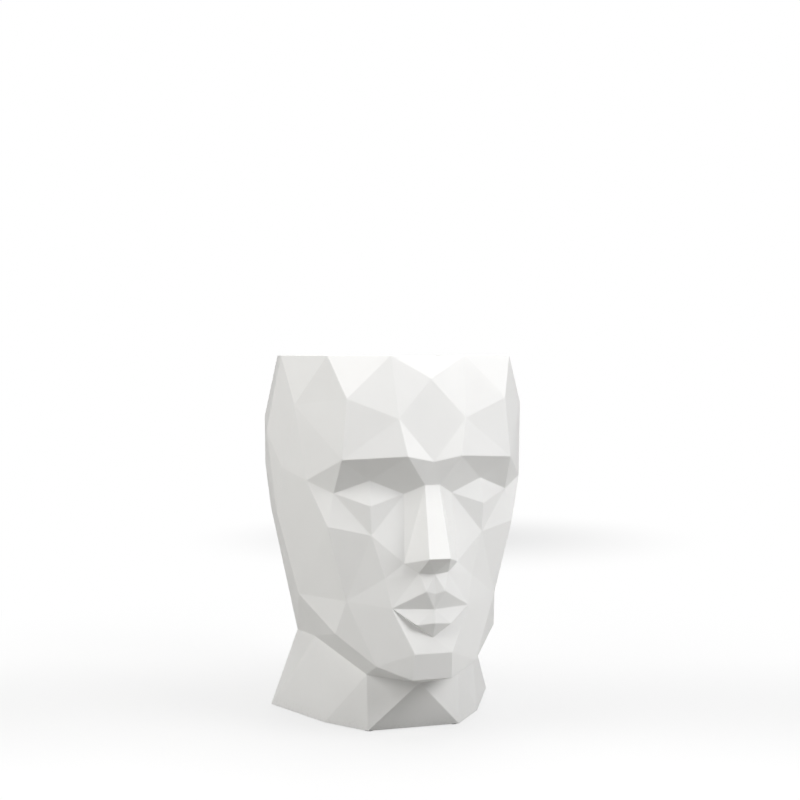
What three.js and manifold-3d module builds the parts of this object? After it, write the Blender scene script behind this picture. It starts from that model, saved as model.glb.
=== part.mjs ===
// Light-up flower pot: a faceted white head, open at the forehead, with a lift-out planting liner
// and a rechargeable lamp screwed into the recessed floor. Millimetres, +Z up, the face looks along -Y.
// The origin is on the ground, at the middle of the pot's box.

import * as THREE from 'three';
import { mergeVertices } from 'three/addons/utils/BufferGeometryUtils.js';
import Module from 'manifold-3d';

const wasm = await Module();
wasm.setup();

// Overall size of the pot
const POT_WIDTH = 390;
const POT_DEPTH = 510;
const POT_HEIGHT = 550;

// Moulded shell
const WALL = 6;
const RIM_WALL = 9;
const RIM_LIP = 30;
const LIP_THICK = 14;
const LEDGE_DEPTH = 8;
const FLOOR_HEIGHT = 34;
const FLOOR_THICK = 6;
const FOOT_RING = 24;
const RECESS_DRAFT = 8;

// Rubber feet
const FOOT_RADIUS = 9;
const FOOT_PROUD = 2;
const FOOT_POCKET = 3;

// Planting liner
const LINER_WALL = 4;
const LINER_FLOOR = 5;
const LINER_FLANGE = 5;
const LINER_TAPER = 50;
const LINER_GAP = 1.5;
const RIB_COUNT = 8;
const RIB_THICK = 4;
const RIB_RISE = 4;
const RIB_LENGTH = 34;
const DRAIN_RADIUS = 9;
const PLUG_HEAD_RADIUS = 14;
const PLUG_HEAD_THICK = 3;
const PLUG_TIP = 1;
const PLUG_KNOB_RADIUS = 5;
const PLUG_NECK_RADIUS = 3.5;
const PLUG_NECK_RISE = 5.5;
const PLUG_KNOB_RISE = 11;

// Lamp cup, its place in the floor and the room for light above it
const CUP_WALL = 3;
const CUP_GAP = 3.4;
const LED_ROOM = 14;
const LIGHT_ROOM = 80;
const PLATE_EDGE = 11;
const PLATE_THICK = 4;
const GASKET_THICK = 1.5;
const OPENING_GAP = 1.6;

// Fixing of the lamp: screws up into brass inserts in the floor's bosses
const FIXING_COUNT = 4;
const FIXING_GAP = 3.1;
const BOSS_RADIUS = 8;
const BOSS_RISE = 12;
const BOSS_ROOF = 4;
const INSERT_RADIUS = 3.5;
const BASE_SCREW_RADIUS = 1.9;
const BASE_SCREW_LENGTH = 16;
const BASE_HEAD_RADIUS = 3.8;
const BASE_HEAD_THICK = 2.6;

// Control board under the battery
const BOARD_RADIUS = 32;
const BOARD_THICK = 1.6;
const BOARD_POST_RADIUS = 3.2;
const BOARD_POST_X = 24;
const BOARD_POST_Y = 14;
const SMALL_SCREW_RADIUS = 1.1;
const SMALL_SCREW_LENGTH = 6;
const SMALL_HEAD_RADIUS = 2.4;
const SMALL_HEAD_THICK = 1.6;
const HEAD_CROWN_SHARE = 0.7;
const HEAD_EDGE_SHARE = 0.45;

// Power button and its switch
const BUTTON_Y = -22;
const BUTTON_RADIUS = 8;
const BUTTON_PROUD = 1.2;
const BUTTON_TRAVEL = 1;
const BUTTON_COLLAR = 2;
const BUTTON_COLLAR_THICK = 1.4;
const BUTTON_EDGE = 0.6;
const BUTTON_DISH = 0.5;
const BUTTON_STEM = 0.7;
const SWITCH_SIZE = 7;
const SWITCH_BODY = 2.2;
const SWITCH_STEM = 1.1;
const SWITCH_STEM_RADIUS = 1.8;

// Charge socket, its hinged cap and the charge light
const SOCKET_Y = 20;
const SOCKET_WIDTH = 9.4;
const SOCKET_DEEP = 4;
const SOCKET_SKIN = 0.5;
const SOCKET_SET = 0.7;
const SOCKET_ROOF = 2;
const SOCKET_TONGUE_WIDTH = 6.6;
const SOCKET_TONGUE_THICK = 0.8;
const SOCKET_ROOM = 1;
const CAP_WIDTH = 20;
const CAP_LENGTH = 16;
const CAP_THICK = 2;
const CAP_CORNER = 3;
const CAP_PLUG_RISE = 1.6;
const CAP_PLUG_GAP = 0.9;
const HINGE_OFFSET = 12;
const BARREL_RADIUS = 1.6;
const BARREL_LENGTH = 10;
const LUG_THICK = 3;
const PIN_RADIUS = 0.8;
const PIPE_RADIUS = 2;
const PIPE_COLLAR = 1.5;
const PIPE_COLLAR_THICK = 1;

// Battery pack
const CELL_COUNT = 4;
const CELL_RADIUS = 9.2;
const CELL_LENGTH = 65;
const CELL_SPACE = 1.2;
const CELL_EDGE = 0.8;
const CELL_CAP_RADIUS = 3;
const CELL_CAP_RISE = 0.5;
const TRAY_GAP = 5.9;
const TRAY_THICK = 2;
const TRAY_END_WALL = 2.7;
const TRAY_END_RISE = 14;
const TRAY_SIDE_WALL = 2.1;
const TRAY_SIDE_RISE = 9;
const TRAY_APRON = 6;
const TRAY_POST_RADIUS = 4;
const EAR_LENGTH = 9.5;
const STRAP_WIDTH = 16;
const STRAP_THICK = 1.5;

// Heat sink, light board and light sources
const SINK_GAP = 2;
const SINK_THICK = 3;
const SINK_EDGE_GAP = 1;
const SINK_POST_RADIUS = 5.5;
const SINK_POST_BITE = 0.5;
const SINK_POST_X = 15;
const SINK_NOTCH_WIDTH = 18;
const FIN_COUNT = 9;
const FIN_PITCH = 9;
const FIN_THICK = 2;
const FIN_DROP = 2.6;
const FIN_LENGTH = 60;
const LED_BOARD_RADIUS = 44;
const LED_COUNT = 8;
const LED_CIRCLE = 30;
const LED_SIZE = 5;
const LED_BODY = 1;
const LED_LENS_RADIUS = 2;
const LED_LENS_EDGE = 0.4;
const LED_LENS_RISE = 1;
const LED_LENS_TOP = 1.2;

// Frosted dome and the ring that holds it on the cup
const SEAL_THICK = 1.5;
const DOME_SHOULDER = 6;
const DOME_WALL = 2.5;
const DOME_RISE = 32;
const DOME_FLANGE = 2.5;
const RING_WALL = 3;
const RING_SKIRT = 10;
const RING_LIP = 2.2;
const RING_CLEAR = 1.6;

// Leads
const LEAD_RADIUS = 0.9;

// Clearance between fitted pieces, broken edges, and how far a cut runs past a face
const FIT = 0.3;
const EDGE = 1;
const BEYOND = 1;

// How round the round pieces are
const ROUND_SIDES = 32;
const MIDDLE_SIDES = 20;
const SMALL_SIDES = 12;
const LEAD_SIDES = 4;
const LEAD_STEPS = 18;
const DOME_STEPS = 6;

// Heights that follow from the sizes above
const LEDGE_Z = POT_HEIGHT - LEDGE_DEPTH;
const FLOOR_TOP = FLOOR_HEIGHT + FLOOR_THICK;
const PLATE_TOP = FLOOR_HEIGHT - GASKET_THICK;
const PLATE_BOTTOM = PLATE_TOP - PLATE_THICK;
const COLLAR_TOP = PLATE_TOP + FIT + BUTTON_COLLAR_THICK;
const BUTTON_TIP = COLLAR_TOP + BUTTON_STEM;
const SWITCH_TIP = BUTTON_TIP + FIT + BUTTON_TRAVEL;
const BOARD_Z = SWITCH_TIP + SWITCH_STEM + SWITCH_BODY;
const BOARD_TOP = BOARD_Z + BOARD_THICK;
const TRAY_Z = BOARD_TOP + TRAY_GAP;
const TRAY_TOP = TRAY_Z + TRAY_THICK;
const CELL_Z = TRAY_TOP + FIT + CELL_RADIUS;
const STRAP_Z = CELL_Z + CELL_RADIUS + FIT;
const SINK_Z = STRAP_Z + STRAP_THICK + SINK_GAP + FIN_DROP;
const SINK_TOP = SINK_Z + SINK_THICK;
const LED_BOARD_TOP = SINK_TOP + BOARD_THICK;
const CUP_TOP = LED_BOARD_TOP + LED_ROOM;
const DOME_Z = CUP_TOP + SEAL_THICK;
const DOME_TOP = DOME_Z + DOME_FLANGE + DOME_RISE;
const LINER_Z = DOME_TOP + LIGHT_ROOM;
const LINER_DEPTH = LEDGE_Z - LINER_Z;

// The battery tray's reach, and the radii that follow from it
const CELL_PITCH = CELL_RADIUS * 2 + CELL_SPACE;
const TRAY_SIDE = CELL_PITCH * CELL_COUNT / 2 + CELL_SPACE / 2;
const TRAY_REACH = TRAY_SIDE + TRAY_SIDE_WALL;
const TRAY_END = CELL_LENGTH / 2 + CELL_SPACE;
const TRAY_LENGTH = TRAY_END + TRAY_END_WALL + TRAY_APRON;
const EAR_END = TRAY_REACH + STRAP_THICK + EAR_LENGTH;
const EAR_MIDDLE = EAR_END - EAR_LENGTH / 2;
const TRAY_CORNER = Math.hypot(TRAY_REACH, TRAY_LENGTH);
const EAR_CORNER = Math.hypot(EAR_END, STRAP_WIDTH / 2);
const CUP_INNER = Math.max(TRAY_CORNER, EAR_CORNER) + CUP_GAP;
const CUP_RADIUS = CUP_INNER + CUP_WALL;
const DOME_RADIUS = CUP_RADIUS - DOME_SHOULDER;
const RING_INNER = DOME_RADIUS + RING_CLEAR;
const RING_OUTER = CUP_RADIUS + FIT + RING_WALL;
const OPENING_RADIUS = RING_OUTER + OPENING_GAP;
const FIXING_CIRCLE = OPENING_RADIUS + BOSS_RADIUS + FIXING_GAP;
const PLATE_RADIUS = FIXING_CIRCLE + PLATE_EDGE;
const SINK_RADIUS = CUP_INNER - SINK_EDGE_GAP;
const SINK_POST_Y = Math.sqrt((CUP_INNER - SINK_POST_RADIUS + SINK_POST_BITE) ** 2 - SINK_POST_X ** 2);
const NOTCH_Y = Math.max(TRAY_LENGTH, LED_BOARD_RADIUS) + EDGE;
const END_POST_Y = Math.max(TRAY_LENGTH - TRAY_POST_RADIUS, BOARD_RADIUS + TRAY_POST_RADIUS + EDGE);

// Finishes
const SHELL_WHITE = { color: 0xf1f0ec, roughness: 0.5, metalness: 0 };
const LINER_GREY = { color: 0xd9d8d3, roughness: 0.6, metalness: 0 };
const LAMP_WHITE = { color: 0xe6e5e1, roughness: 0.5, metalness: 0 };
const FROSTED = { color: 0xf7f5ee, roughness: 0.7, metalness: 0 };
const SEAL_GREY = { color: 0x77787a, roughness: 0.85, metalness: 0 };
const RUBBER_BLACK = { color: 0x1d1d1e, roughness: 0.9, metalness: 0 };
const STEEL = { color: 0xb9bcc0, roughness: 0.3, metalness: 1 };
const BRASS = { color: 0xb8913f, roughness: 0.35, metalness: 1 };
const ALUMINIUM = { color: 0xc4c6c9, roughness: 0.4, metalness: 1 };
const BOARD_GREEN = { color: 0x1f5b3a, roughness: 0.5, metalness: 0 };
const BOARD_WHITE = { color: 0xf3f3f0, roughness: 0.5, metalness: 0 };
const CELL_BLUE = { color: 0x3a6ea5, roughness: 0.35, metalness: 0 };
const TRAY_BLACK = { color: 0x2a2b2d, roughness: 0.6, metalness: 0 };
const LED_YELLOW = { color: 0xe9d48a, roughness: 0.4, metalness: 0 };
const CLEAR = { color: 0xdfe6e8, roughness: 0.15, metalness: 0 };
const LEAD_RED = { color: 0xa32622, roughness: 0.5, metalness: 0 };
const LEAD_BLACK = { color: 0x202122, roughness: 0.5, metalness: 0 };

// Levels of the face, in percent of the shell's height: chin to rim in thirds, eyes half way up the head
const CHIN = 17;
const LIPS = 35.5;
const NOSE = 44.5;
const EYES = 64.5;
const BROW = 72.5;
const RIM = 100;
const BASE = 0;

// Corners of the head in percent: of the half width out from the middle, of the depth back from the nose,
// and of the shell's height. A corner off the middle stands for a pair. Eyes, nose and mouth keep to fifths.
const CORNERS = {
  rim_front: [28, 11, RIM],
  rim_corner: [70, 19, RIM],
  rim_side: [92, 43, RIM],
  rim_rear: [79, 75, RIM],
  rim_back: [32, 92, RIM],
  forehead_top: [0, 8.4, 94],
  forehead: [25, 7, 84],
  forehead_side: [60, 12, 89],
  glabella: [0, 5.6, BROW + 0.5],
  brow_in: [20, 4.8, BROW + 2],
  brow_out: [64, 11.5, BROW + 1],
  temple_high: [89, 29, 87],
  temple: [83, 24, EYES + 3],
  bridge: [5.5, 7.4, EYES + 2.5],
  eye_in: [18, 11.5, EYES],
  eye_out: [66, 18, EYES],
  socket: [42, 13.6, EYES + 3.5],
  lid: [43, 11.6, EYES - 3],
  nose_tip: [8, 0, NOSE + 4.5],
  nose_wing: [20, 8.4, NOSE + 2.5],
  nostril: [11, 6, NOSE + 0.3],
  nose_base: [0, 5, NOSE],
  cheek_front: [42, 12, 54],
  cheek_bone: [71, 17.5, 56],
  fold: [33, 10.5, NOSE - 1.5],
  lip_peak: [7, 4, LIPS + 4.8],
  lip_dip: [0, 4.4, LIPS + 4],
  lip_line: [0, 5.2, LIPS],
  mouth_corner: [29, 9, LIPS],
  lip_full: [0, 4.5, LIPS - 3.5],
  lip_low: [13, 5.7, LIPS - 4],
  crease: [0, 6.6, LIPS - 7.5],
  chin_top: [14, 5.8, CHIN + 7],
  chin_low: [15, 7.4, CHIN],
  jaw_front: [38, 12.5, CHIN + 3],
  cheek_low: [57, 17.5, LIPS + 1],
  jaw_mid: [62, 23, CHIN + 10],
  jaw_corner: [80, 41, CHIN + 18],
  side_front: [95, 36, 70],
  side_low: [95, 44, 57],
  side_wide: [100, 50, 79],
  rear_high: [88, 79, 82],
  rear_low: [84, 77, 55],
  side_mid: [87.5, 55, 50],
  side_rear: [95, 63, 69],
  crown_top: [0, 97, 92],
  crown_back: [37, 97, 82],
  back_middle: [0, 100, 72],
  occiput: [37, 98.5, 61],
  nape_side: [67, 67, 20],
  nape_high: [0, 94, 47],
  nape: [30, 85, 33],
  nape_low: [0, 83.5, 15],
  throat: [0, 19, CHIN - 3.5],
  neck_front: [36, 26, CHIN - 2],
  neck_side: [64, 46, CHIN + 5],
  base_front: [36, 25, BASE],
  base_side: [62, 37, BASE],
  base_flare: [92, 61, BASE],
  base_back: [46, 87, BASE],
};

// Facets across the middle of the head. A name after ~ is the corner's left-hand twin.
const MIDDLE_FACETS = [
  'rim_front ~rim_front forehead_top',
  'forehead_top ~forehead glabella forehead',
  'glabella ~bridge bridge',
  'bridge ~bridge ~nose_tip nose_tip',
  'nose_tip ~nose_tip nose_base',
  'crease ~chin_top chin_top',
  'chin_top ~chin_top ~chin_low chin_low',
  'chin_low ~chin_low throat',
  'throat ~base_front base_front',
  '~rim_back rim_back crown_top',
  'crown_back ~crown_back crown_top',
  'crown_back back_middle ~crown_back',
  'back_middle occiput ~occiput',
  'occiput nape_high ~occiput',
  'nape_high nape ~nape',
  '~nape nape nape_low',
  'base_back ~base_back nape_low',
];

// Facets of the right-hand half, seen from outside anticlockwise
const HALF_FACETS = {
  forehead: [
    'rim_front forehead_top forehead',
    'rim_front forehead forehead_side',
    'rim_front forehead_side rim_corner',
    'forehead glabella brow_in',
    'forehead brow_in brow_out',
    'forehead brow_out forehead_side',
    'forehead_side brow_out temple_high',
    'rim_corner forehead_side temple_high',
    'rim_corner temple_high rim_side',
    'brow_out temple temple_high',
  ],
  eye: [
    'glabella bridge brow_in',
    'brow_in bridge eye_in',
    'brow_in eye_in socket',
    'brow_in socket brow_out',
    'brow_out socket eye_out',
    'brow_out eye_out temple',
    'socket eye_in lid',
    'socket lid eye_out',
    'eye_in cheek_front lid',
    'lid cheek_front eye_out',
  ],
  nose: [
    'bridge nose_tip nose_wing',
    'bridge nose_wing eye_in',
    'nose_tip nose_base nostril',
    'nose_tip nostril nose_wing',
  ],
  cheek: [
    'eye_in nose_wing cheek_front',
    'eye_out cheek_front cheek_bone',
    'eye_out cheek_bone temple',
    'nose_wing fold cheek_front',
    'nose_wing nostril fold',
    'fold cheek_low cheek_front',
    'cheek_front cheek_low cheek_bone',
    'fold mouth_corner cheek_low',
  ],
  mouth: [
    'nose_base lip_dip lip_peak',
    'nose_base lip_peak nostril',
    'nostril lip_peak mouth_corner',
    'nostril mouth_corner fold',
    'lip_dip lip_line lip_peak',
    'lip_peak lip_line mouth_corner',
    'lip_line lip_full lip_low',
    'lip_line lip_low mouth_corner',
    'lip_full crease lip_low',
    'lip_low crease mouth_corner',
  ],
  jaw: [
    'crease chin_top mouth_corner',
    'mouth_corner chin_top jaw_front',
    'chin_top chin_low jaw_front',
    'mouth_corner jaw_front cheek_low',
    'cheek_low jaw_front jaw_mid',
    'cheek_low jaw_mid jaw_corner',
    'cheek_low jaw_corner cheek_bone',
    'cheek_bone jaw_corner side_low',
    'cheek_bone side_low temple',
  ],
  side: [
    'temple side_low side_front',
    'side_front side_low side_wide',
    'temple side_front temple_high',
    'side_front side_wide temple_high',
    'temple_high side_wide rim_side',
    'rim_side side_wide rim_rear',
    'rim_rear side_wide rear_high',
    'rim_rear rear_high rim_back',
    'rim_back rear_high crown_back',
    'rim_back crown_back crown_top',
    'side_wide side_low side_rear',
    'side_low rear_low side_rear',
    'rear_low rear_high side_rear',
    'rear_high side_wide side_rear',
    'rear_high rear_low crown_back',
    'crown_back rear_low occiput',
    'crown_back occiput back_middle',
    'side_low jaw_corner side_mid',
    'side_mid jaw_corner rear_low',
    'side_low side_mid rear_low',
    'jaw_corner nape_side rear_low',
    'rear_low nape_side nape',
    'rear_low nape occiput',
    'occiput nape nape_high',
  ],
  neck: [
    'chin_low throat neck_front',
    'chin_low neck_front jaw_front',
    'jaw_front neck_front jaw_mid',
    'jaw_mid neck_front neck_side',
    'jaw_mid neck_side jaw_corner',
    'jaw_corner neck_side nape_side',
    'throat base_front neck_front',
    'neck_front base_front base_side',
    'neck_front base_side neck_side',
    'neck_side base_side base_flare',
    'neck_side base_flare nape_side',
    'nape_side base_flare base_back',
    'nape_side base_back nape',
    'nape base_back nape_low',
  ],
};

// Corners round the rim and round the base, from the front to the back of the right-hand half
const RIM_CORNERS = ['rim_front', 'rim_corner', 'rim_side', 'rim_rear', 'rim_back'];
const BASE_CORNERS = ['base_front', 'base_side', 'base_flare', 'base_back'];

// A closed three.js geometry as a solid that can be joined and cut
function solidOf(geometry) {
  const bare = geometry.clone();
  bare.deleteAttribute('normal');
  bare.deleteAttribute('uv');
  const merged = mergeVertices(bare);
  const index = merged.index.array;
  const triangles = [];
  for (let i = 0; i < index.length; i += 3) {
    const [a, b, c] = [index[i], index[i + 1], index[i + 2]];
    if (a !== b && b !== c && c !== a) {
      triangles.push(a, b, c);
    }
  }
  return new wasm.Manifold(new wasm.Mesh({
    numProp: 3,
    vertProperties: new Float32Array(merged.attributes.position.array),
    triVerts: new Uint32Array(triangles),
  }));
}

function geometryOf(solid) {
  const { vertProperties, triVerts } = solid.getMesh();
  const geometry = new THREE.BufferGeometry();
  geometry.setAttribute('position', new THREE.BufferAttribute(vertProperties, 3));
  geometry.setIndex(new THREE.BufferAttribute(triVerts, 1));
  geometry.computeVertexNormals();
  return geometry;
}

// A named mesh of its own in the pot
function piece(group, name, solid, finish) {
  const material = new THREE.MeshStandardMaterial({ ...finish, flatShading: true });
  const mesh = new THREE.Mesh(geometryOf(solid), material);
  mesh.name = name;
  group.add(mesh);
}

// A solid turned round the Z axis from [radius, height] points, anticlockwise, then moved
function turned(profile, x = 0, y = 0, sides = ROUND_SIDES) {
  const points = profile.map(([radius, height]) => new THREE.Vector2(radius, height));
  const geometry = new THREE.LatheGeometry(points, sides).rotateX(Math.PI / 2);
  return solidOf(geometry.translate(x, y, 0));
}

function rod(radius, bottom, top, x = 0, y = 0, sides = SMALL_SIDES) {
  return turned([[0, bottom], [radius, bottom], [radius, top], [0, top]], x, y, sides);
}

function ring(inner, outer, bottom, top, sides = ROUND_SIDES) {
  return turned([[inner, bottom], [outer, bottom], [outer, top], [inner, top], [inner, bottom]], 0, 0, sides);
}

// A box between two corners
function block([x0, y0, z0], [x1, y1, z1]) {
  const geometry = new THREE.BoxGeometry(x1 - x0, y1 - y0, z1 - z0);
  return solidOf(geometry.translate((x0 + x1) / 2, (y0 + y1) / 2, (z0 + z1) / 2));
}

// An upright prism on an outline
function prism(outline, bottom, top) {
  const geometry = new THREE.ExtrudeGeometry(new THREE.Shape(outline), {
    depth: top - bottom,
    bevelEnabled: false,
  });
  return solidOf(geometry.translate(0, 0, bottom));
}

// A slot with round ends, lying along X
function slot(width, deep, bottom, top, x, y) {
  const radius = deep / 2;
  const reach = width / 2 - radius;
  const shape = new THREE.Shape();
  shape.absarc(reach, 0, radius, -Math.PI / 2, Math.PI / 2, false);
  shape.absarc(-reach, 0, radius, Math.PI / 2, Math.PI * 1.5, false);
  const geometry = new THREE.ExtrudeGeometry(shape, {
    depth: top - bottom,
    bevelEnabled: false,
    curveSegments: 6,
  });
  return solidOf(geometry.translate(x, y, bottom));
}

// A round bar along X
function crossBar(radius, x0, x1, y, z, sides = SMALL_SIDES) {
  const geometry = new THREE.CylinderGeometry(radius, radius, x1 - x0, sides).rotateZ(Math.PI / 2);
  return solidOf(geometry.translate((x0 + x1) / 2, y, z));
}

// Flat facets between numbered corners
function faceted(corners, facets) {
  const positions = corners.flatMap((corner) => corner.toArray());
  const index = [];
  for (const facet of facets) {
    for (let i = 1; i + 1 < facet.length; i += 1) {
      index.push(facet[0], facet[i], facet[i + 1]);
    }
  }
  const geometry = new THREE.BufferGeometry();
  geometry.setAttribute('position', new THREE.Float32BufferAttribute(positions, 3));
  geometry.setIndex(index);
  return solidOf(geometry);
}

// A solid through outlines with the same number of points, each at its own height
function loft(sections) {
  const count = sections[0].outline.length;
  const corners = sections.flatMap(({ outline, z }) => outline.map((p) => new THREE.Vector3(p.x, p.y, z)));
  const facets = [];
  for (let level = 0; level + 1 < sections.length; level += 1) {
    for (let i = 0; i < count; i += 1) {
      const next = (i + 1) % count;
      const low = level * count;
      facets.push([low + i, low + next, low + count + next, low + count + i]);
    }
  }
  const lid = sections[0].outline.map((_, i) => (sections.length - 1) * count + i);
  const floor = sections[0].outline.map((_, i) => count - 1 - i);
  return faceted(corners, [...facets, lid, floor]);
}

// An outline drawn in by a distance, each edge parallel to its old place
function drawnIn(outline, distance) {
  const count = outline.length;
  const inward = outline.map((point, i) => {
    const edge = outline[(i + 1) % count].clone().sub(point).normalize();
    return new THREE.Vector2(-edge.y, edge.x);
  });
  return outline.map((point, i) => {
    const before = inward[(i + count - 1) % count];
    const after = inward[i];
    const reach = distance / (1 + before.dot(after));
    return point.clone().addScaledVector(before.clone().add(after), reach);
  });
}

// The head's corners, both sides, and its facets with the rim and the base closed
function headMesh() {
  const names = [];
  const corners = [];
  for (const [name, [across, back, up]] of Object.entries(CORNERS)) {
    const x = across / 100 * POT_WIDTH / 2;
    const y = (back / 100 - 0.5) * POT_DEPTH;
    const z = FOOT_PROUD + up / 100 * (POT_HEIGHT - FOOT_PROUD);
    names.push(name);
    corners.push(new THREE.Vector3(x, y, z));
    if (across > 0) {
      names.push(`~${name}`);
      corners.push(new THREE.Vector3(-x, y, z));
    }
  }
  const number = (name) => names.indexOf(name);
  const twin = (name) => {
    const left = number(`~${name}`);
    return left < 0 ? number(name) : left;
  };
  const walls = MIDDLE_FACETS.map((facet) => facet.split(' ').map(number));
  for (const facet of Object.values(HALF_FACETS).flat()) {
    const corner = facet.split(' ');
    walls.push(corner.map(number));
    walls.push(corner.map(twin).reverse());
  }
  const round = (list) => [...list.map(number), ...[...list].reverse().map(twin)];
  return { corners, walls, rim: round(RIM_CORNERS), base: round(BASE_CORNERS) };
}

function facetNormal(corners, facet) {
  const normal = new THREE.Vector3();
  for (let i = 1; i + 1 < facet.length; i += 1) {
    const first = corners[facet[i]].clone().sub(corners[facet[0]]);
    const second = corners[facet[i + 1]].clone().sub(corners[facet[0]]);
    normal.add(first.cross(second));
  }
  return normal.normalize();
}

// The cavity: each corner moves in until it lies at the wanted depth behind the facets that meet there
function cavityCorners({ corners, walls, rim, base }) {
  const capWeight = 400;
  const steady = 0.02;
  const rows = corners.map(() => []);
  for (const facet of walls) {
    const normal = facetNormal(corners, facet);
    facet.forEach((corner) => rows[corner].push({ normal, depth: WALL, weight: 1 }));
  }
  const up = new THREE.Vector3(0, 0, 1);
  const down = new THREE.Vector3(0, 0, -1);
  rim.forEach((corner) => rows[corner].push({ normal: up, depth: LIP_THICK, weight: capWeight }));
  const floorDepth = FLOOR_TOP - FOOT_PROUD;
  base.forEach((corner) => rows[corner].push({ normal: down, depth: floorDepth, weight: capWeight }));
  return corners.map((corner, i) => {
    const sum = new Array(9).fill(0);
    const side = new THREE.Vector3();
    for (const { normal, depth, weight } of rows[i]) {
      const n = normal.toArray();
      for (let row = 0; row < 3; row += 1) {
        for (let column = 0; column < 3; column += 1) {
          sum[row * 3 + column] += weight * n[row] * n[column];
        }
      }
      side.addScaledVector(normal, -weight * depth);
    }
    sum[0] += steady;
    sum[4] += steady;
    sum[8] += steady;
    const solve = new THREE.Matrix3().set(...sum).invert();
    return corner.clone().add(side.applyMatrix3(solve));
  });
}

const head = headMesh();
const flatOutline = (list) => list.map((corner) => {
  const { x, y } = head.corners[corner];
  return new THREE.Vector2(x, y);
});
const rimOutline = flatOutline(head.rim);
const baseOutline = flatOutline(head.base);
const footPlaces = drawnIn(baseOutline, FOOT_RING / 2).filter((_, i) => {
  const along = i % BASE_CORNERS.length;
  return along === 0 || along === BASE_CORNERS.length - 1;
});
const lampY = (baseOutline[0].y + baseOutline[BASE_CORNERS.length - 1].y) / 2;
const fixingPlaces = Array.from({ length: FIXING_COUNT }, (_, i) => {
  const angle = (i + 0.5) / FIXING_COUNT * Math.PI * 2;
  return new THREE.Vector2(Math.cos(angle), Math.sin(angle)).multiplyScalar(FIXING_CIRCLE);
});

// Moulded head: faceted outside, even wall, turned-in rim with a ledge, recessed floor with bosses
function headShell() {
  const { corners, walls, rim, base } = head;
  const facets = [...walls, rim, [...base].reverse()];
  const cavity = faceted(cavityCorners(head), facets);
  const mouth = prism(drawnIn(rimOutline, RIM_LIP), POT_HEIGHT - LIP_THICK - BEYOND, POT_HEIGHT + BEYOND);
  const ledge = prism(drawnIn(rimOutline, RIM_WALL), LEDGE_Z, POT_HEIGHT + BEYOND);
  const recess = loft([
    { outline: drawnIn(baseOutline, FOOT_RING), z: FOOT_PROUD - BEYOND },
    { outline: drawnIn(baseOutline, FOOT_RING + RECESS_DRAFT), z: FLOOR_HEIGHT },
  ]);
  let shell = faceted(corners, facets).subtract(cavity).subtract(mouth).subtract(ledge).subtract(recess);
  const [under, over] = [FLOOR_HEIGHT - BEYOND, FLOOR_TOP + BEYOND];
  shell = shell.subtract(rod(OPENING_RADIUS, under, over, 0, lampY, ROUND_SIDES));
  for (const { x, y } of fixingPlaces) {
    const bossTop = FLOOR_TOP + BOSS_RISE;
    shell = shell.add(rod(BOSS_RADIUS, FLOOR_HEIGHT, bossTop, x, y + lampY, MIDDLE_SIDES));
    const bore = INSERT_RADIUS + FIT;
    shell = shell.subtract(rod(bore, under, bossTop - BOSS_ROOF, x, y + lampY));
  }
  for (const { x, y } of footPlaces) {
    const pocket = FOOT_RADIUS + FIT;
    shell = shell.subtract(rod(pocket, FOOT_PROUD - BEYOND, FOOT_PROUD + FOOT_POCKET, x, y, MIDDLE_SIDES));
  }
  return shell;
}

// Soft foot, pushed into its pocket, with a chamfered tread
function foot({ x, y }) {
  const top = FOOT_PROUD + FOOT_POCKET;
  const chamfer = FOOT_PROUD / 2;
  return turned([
    [0, 0],
    [FOOT_RADIUS - chamfer, 0],
    [FOOT_RADIUS, chamfer],
    [FOOT_RADIUS, top],
    [0, top],
  ], x, y, MIDDLE_SIDES);
}

const linerMouth = RIM_LIP + LINER_GAP;
const linerTop = LEDGE_Z + LINER_FLANGE;
const linerInside = LINER_Z + LINER_FLOOR;
const linerCentre = rimOutline.reduce((sum, { y }) => sum + y, 0) / rimOutline.length;

// Tapered tub with a flange that lies on the rim's ledge, ribs on its floor and a drain
function plantingLiner() {
  const slope = LINER_TAPER / LINER_DEPTH;
  const inset = (z) => linerMouth + (LEDGE_Z - z) * slope;
  const outside = loft([
    { outline: drawnIn(rimOutline, inset(LINER_Z)), z: LINER_Z },
    { outline: drawnIn(rimOutline, inset(LEDGE_Z)), z: LEDGE_Z },
    { outline: drawnIn(rimOutline, inset(LEDGE_Z)), z: linerTop },
  ]);
  const inside = loft([
    { outline: drawnIn(rimOutline, inset(linerInside) + LINER_WALL), z: linerInside },
    { outline: drawnIn(rimOutline, inset(LEDGE_Z) + LINER_WALL), z: LEDGE_Z },
    { outline: drawnIn(rimOutline, inset(LEDGE_Z) + LINER_WALL), z: linerTop + BEYOND },
  ]);
  const flange = prism(drawnIn(rimOutline, RIM_WALL + LINER_GAP), LEDGE_Z, linerTop);
  let liner = outside.add(flange).subtract(inside);
  const start = PLUG_HEAD_RADIUS * 2;
  for (let i = 0; i < RIB_COUNT; i += 1) {
    const bar = new THREE.BoxGeometry(RIB_LENGTH, RIB_THICK, RIB_RISE + LINER_FLOOR / 2);
    bar.translate(start + RIB_LENGTH / 2, 0, linerInside + (RIB_RISE - LINER_FLOOR / 2) / 2);
    bar.rotateZ((i + 0.5) / RIB_COUNT * Math.PI * 2);
    liner = liner.add(solidOf(bar.translate(0, linerCentre, 0)));
  }
  const drain = rod(DRAIN_RADIUS, LINER_Z - BEYOND, linerInside + BEYOND, 0, linerCentre, MIDDLE_SIDES);
  return liner.subtract(drain);
}

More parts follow.
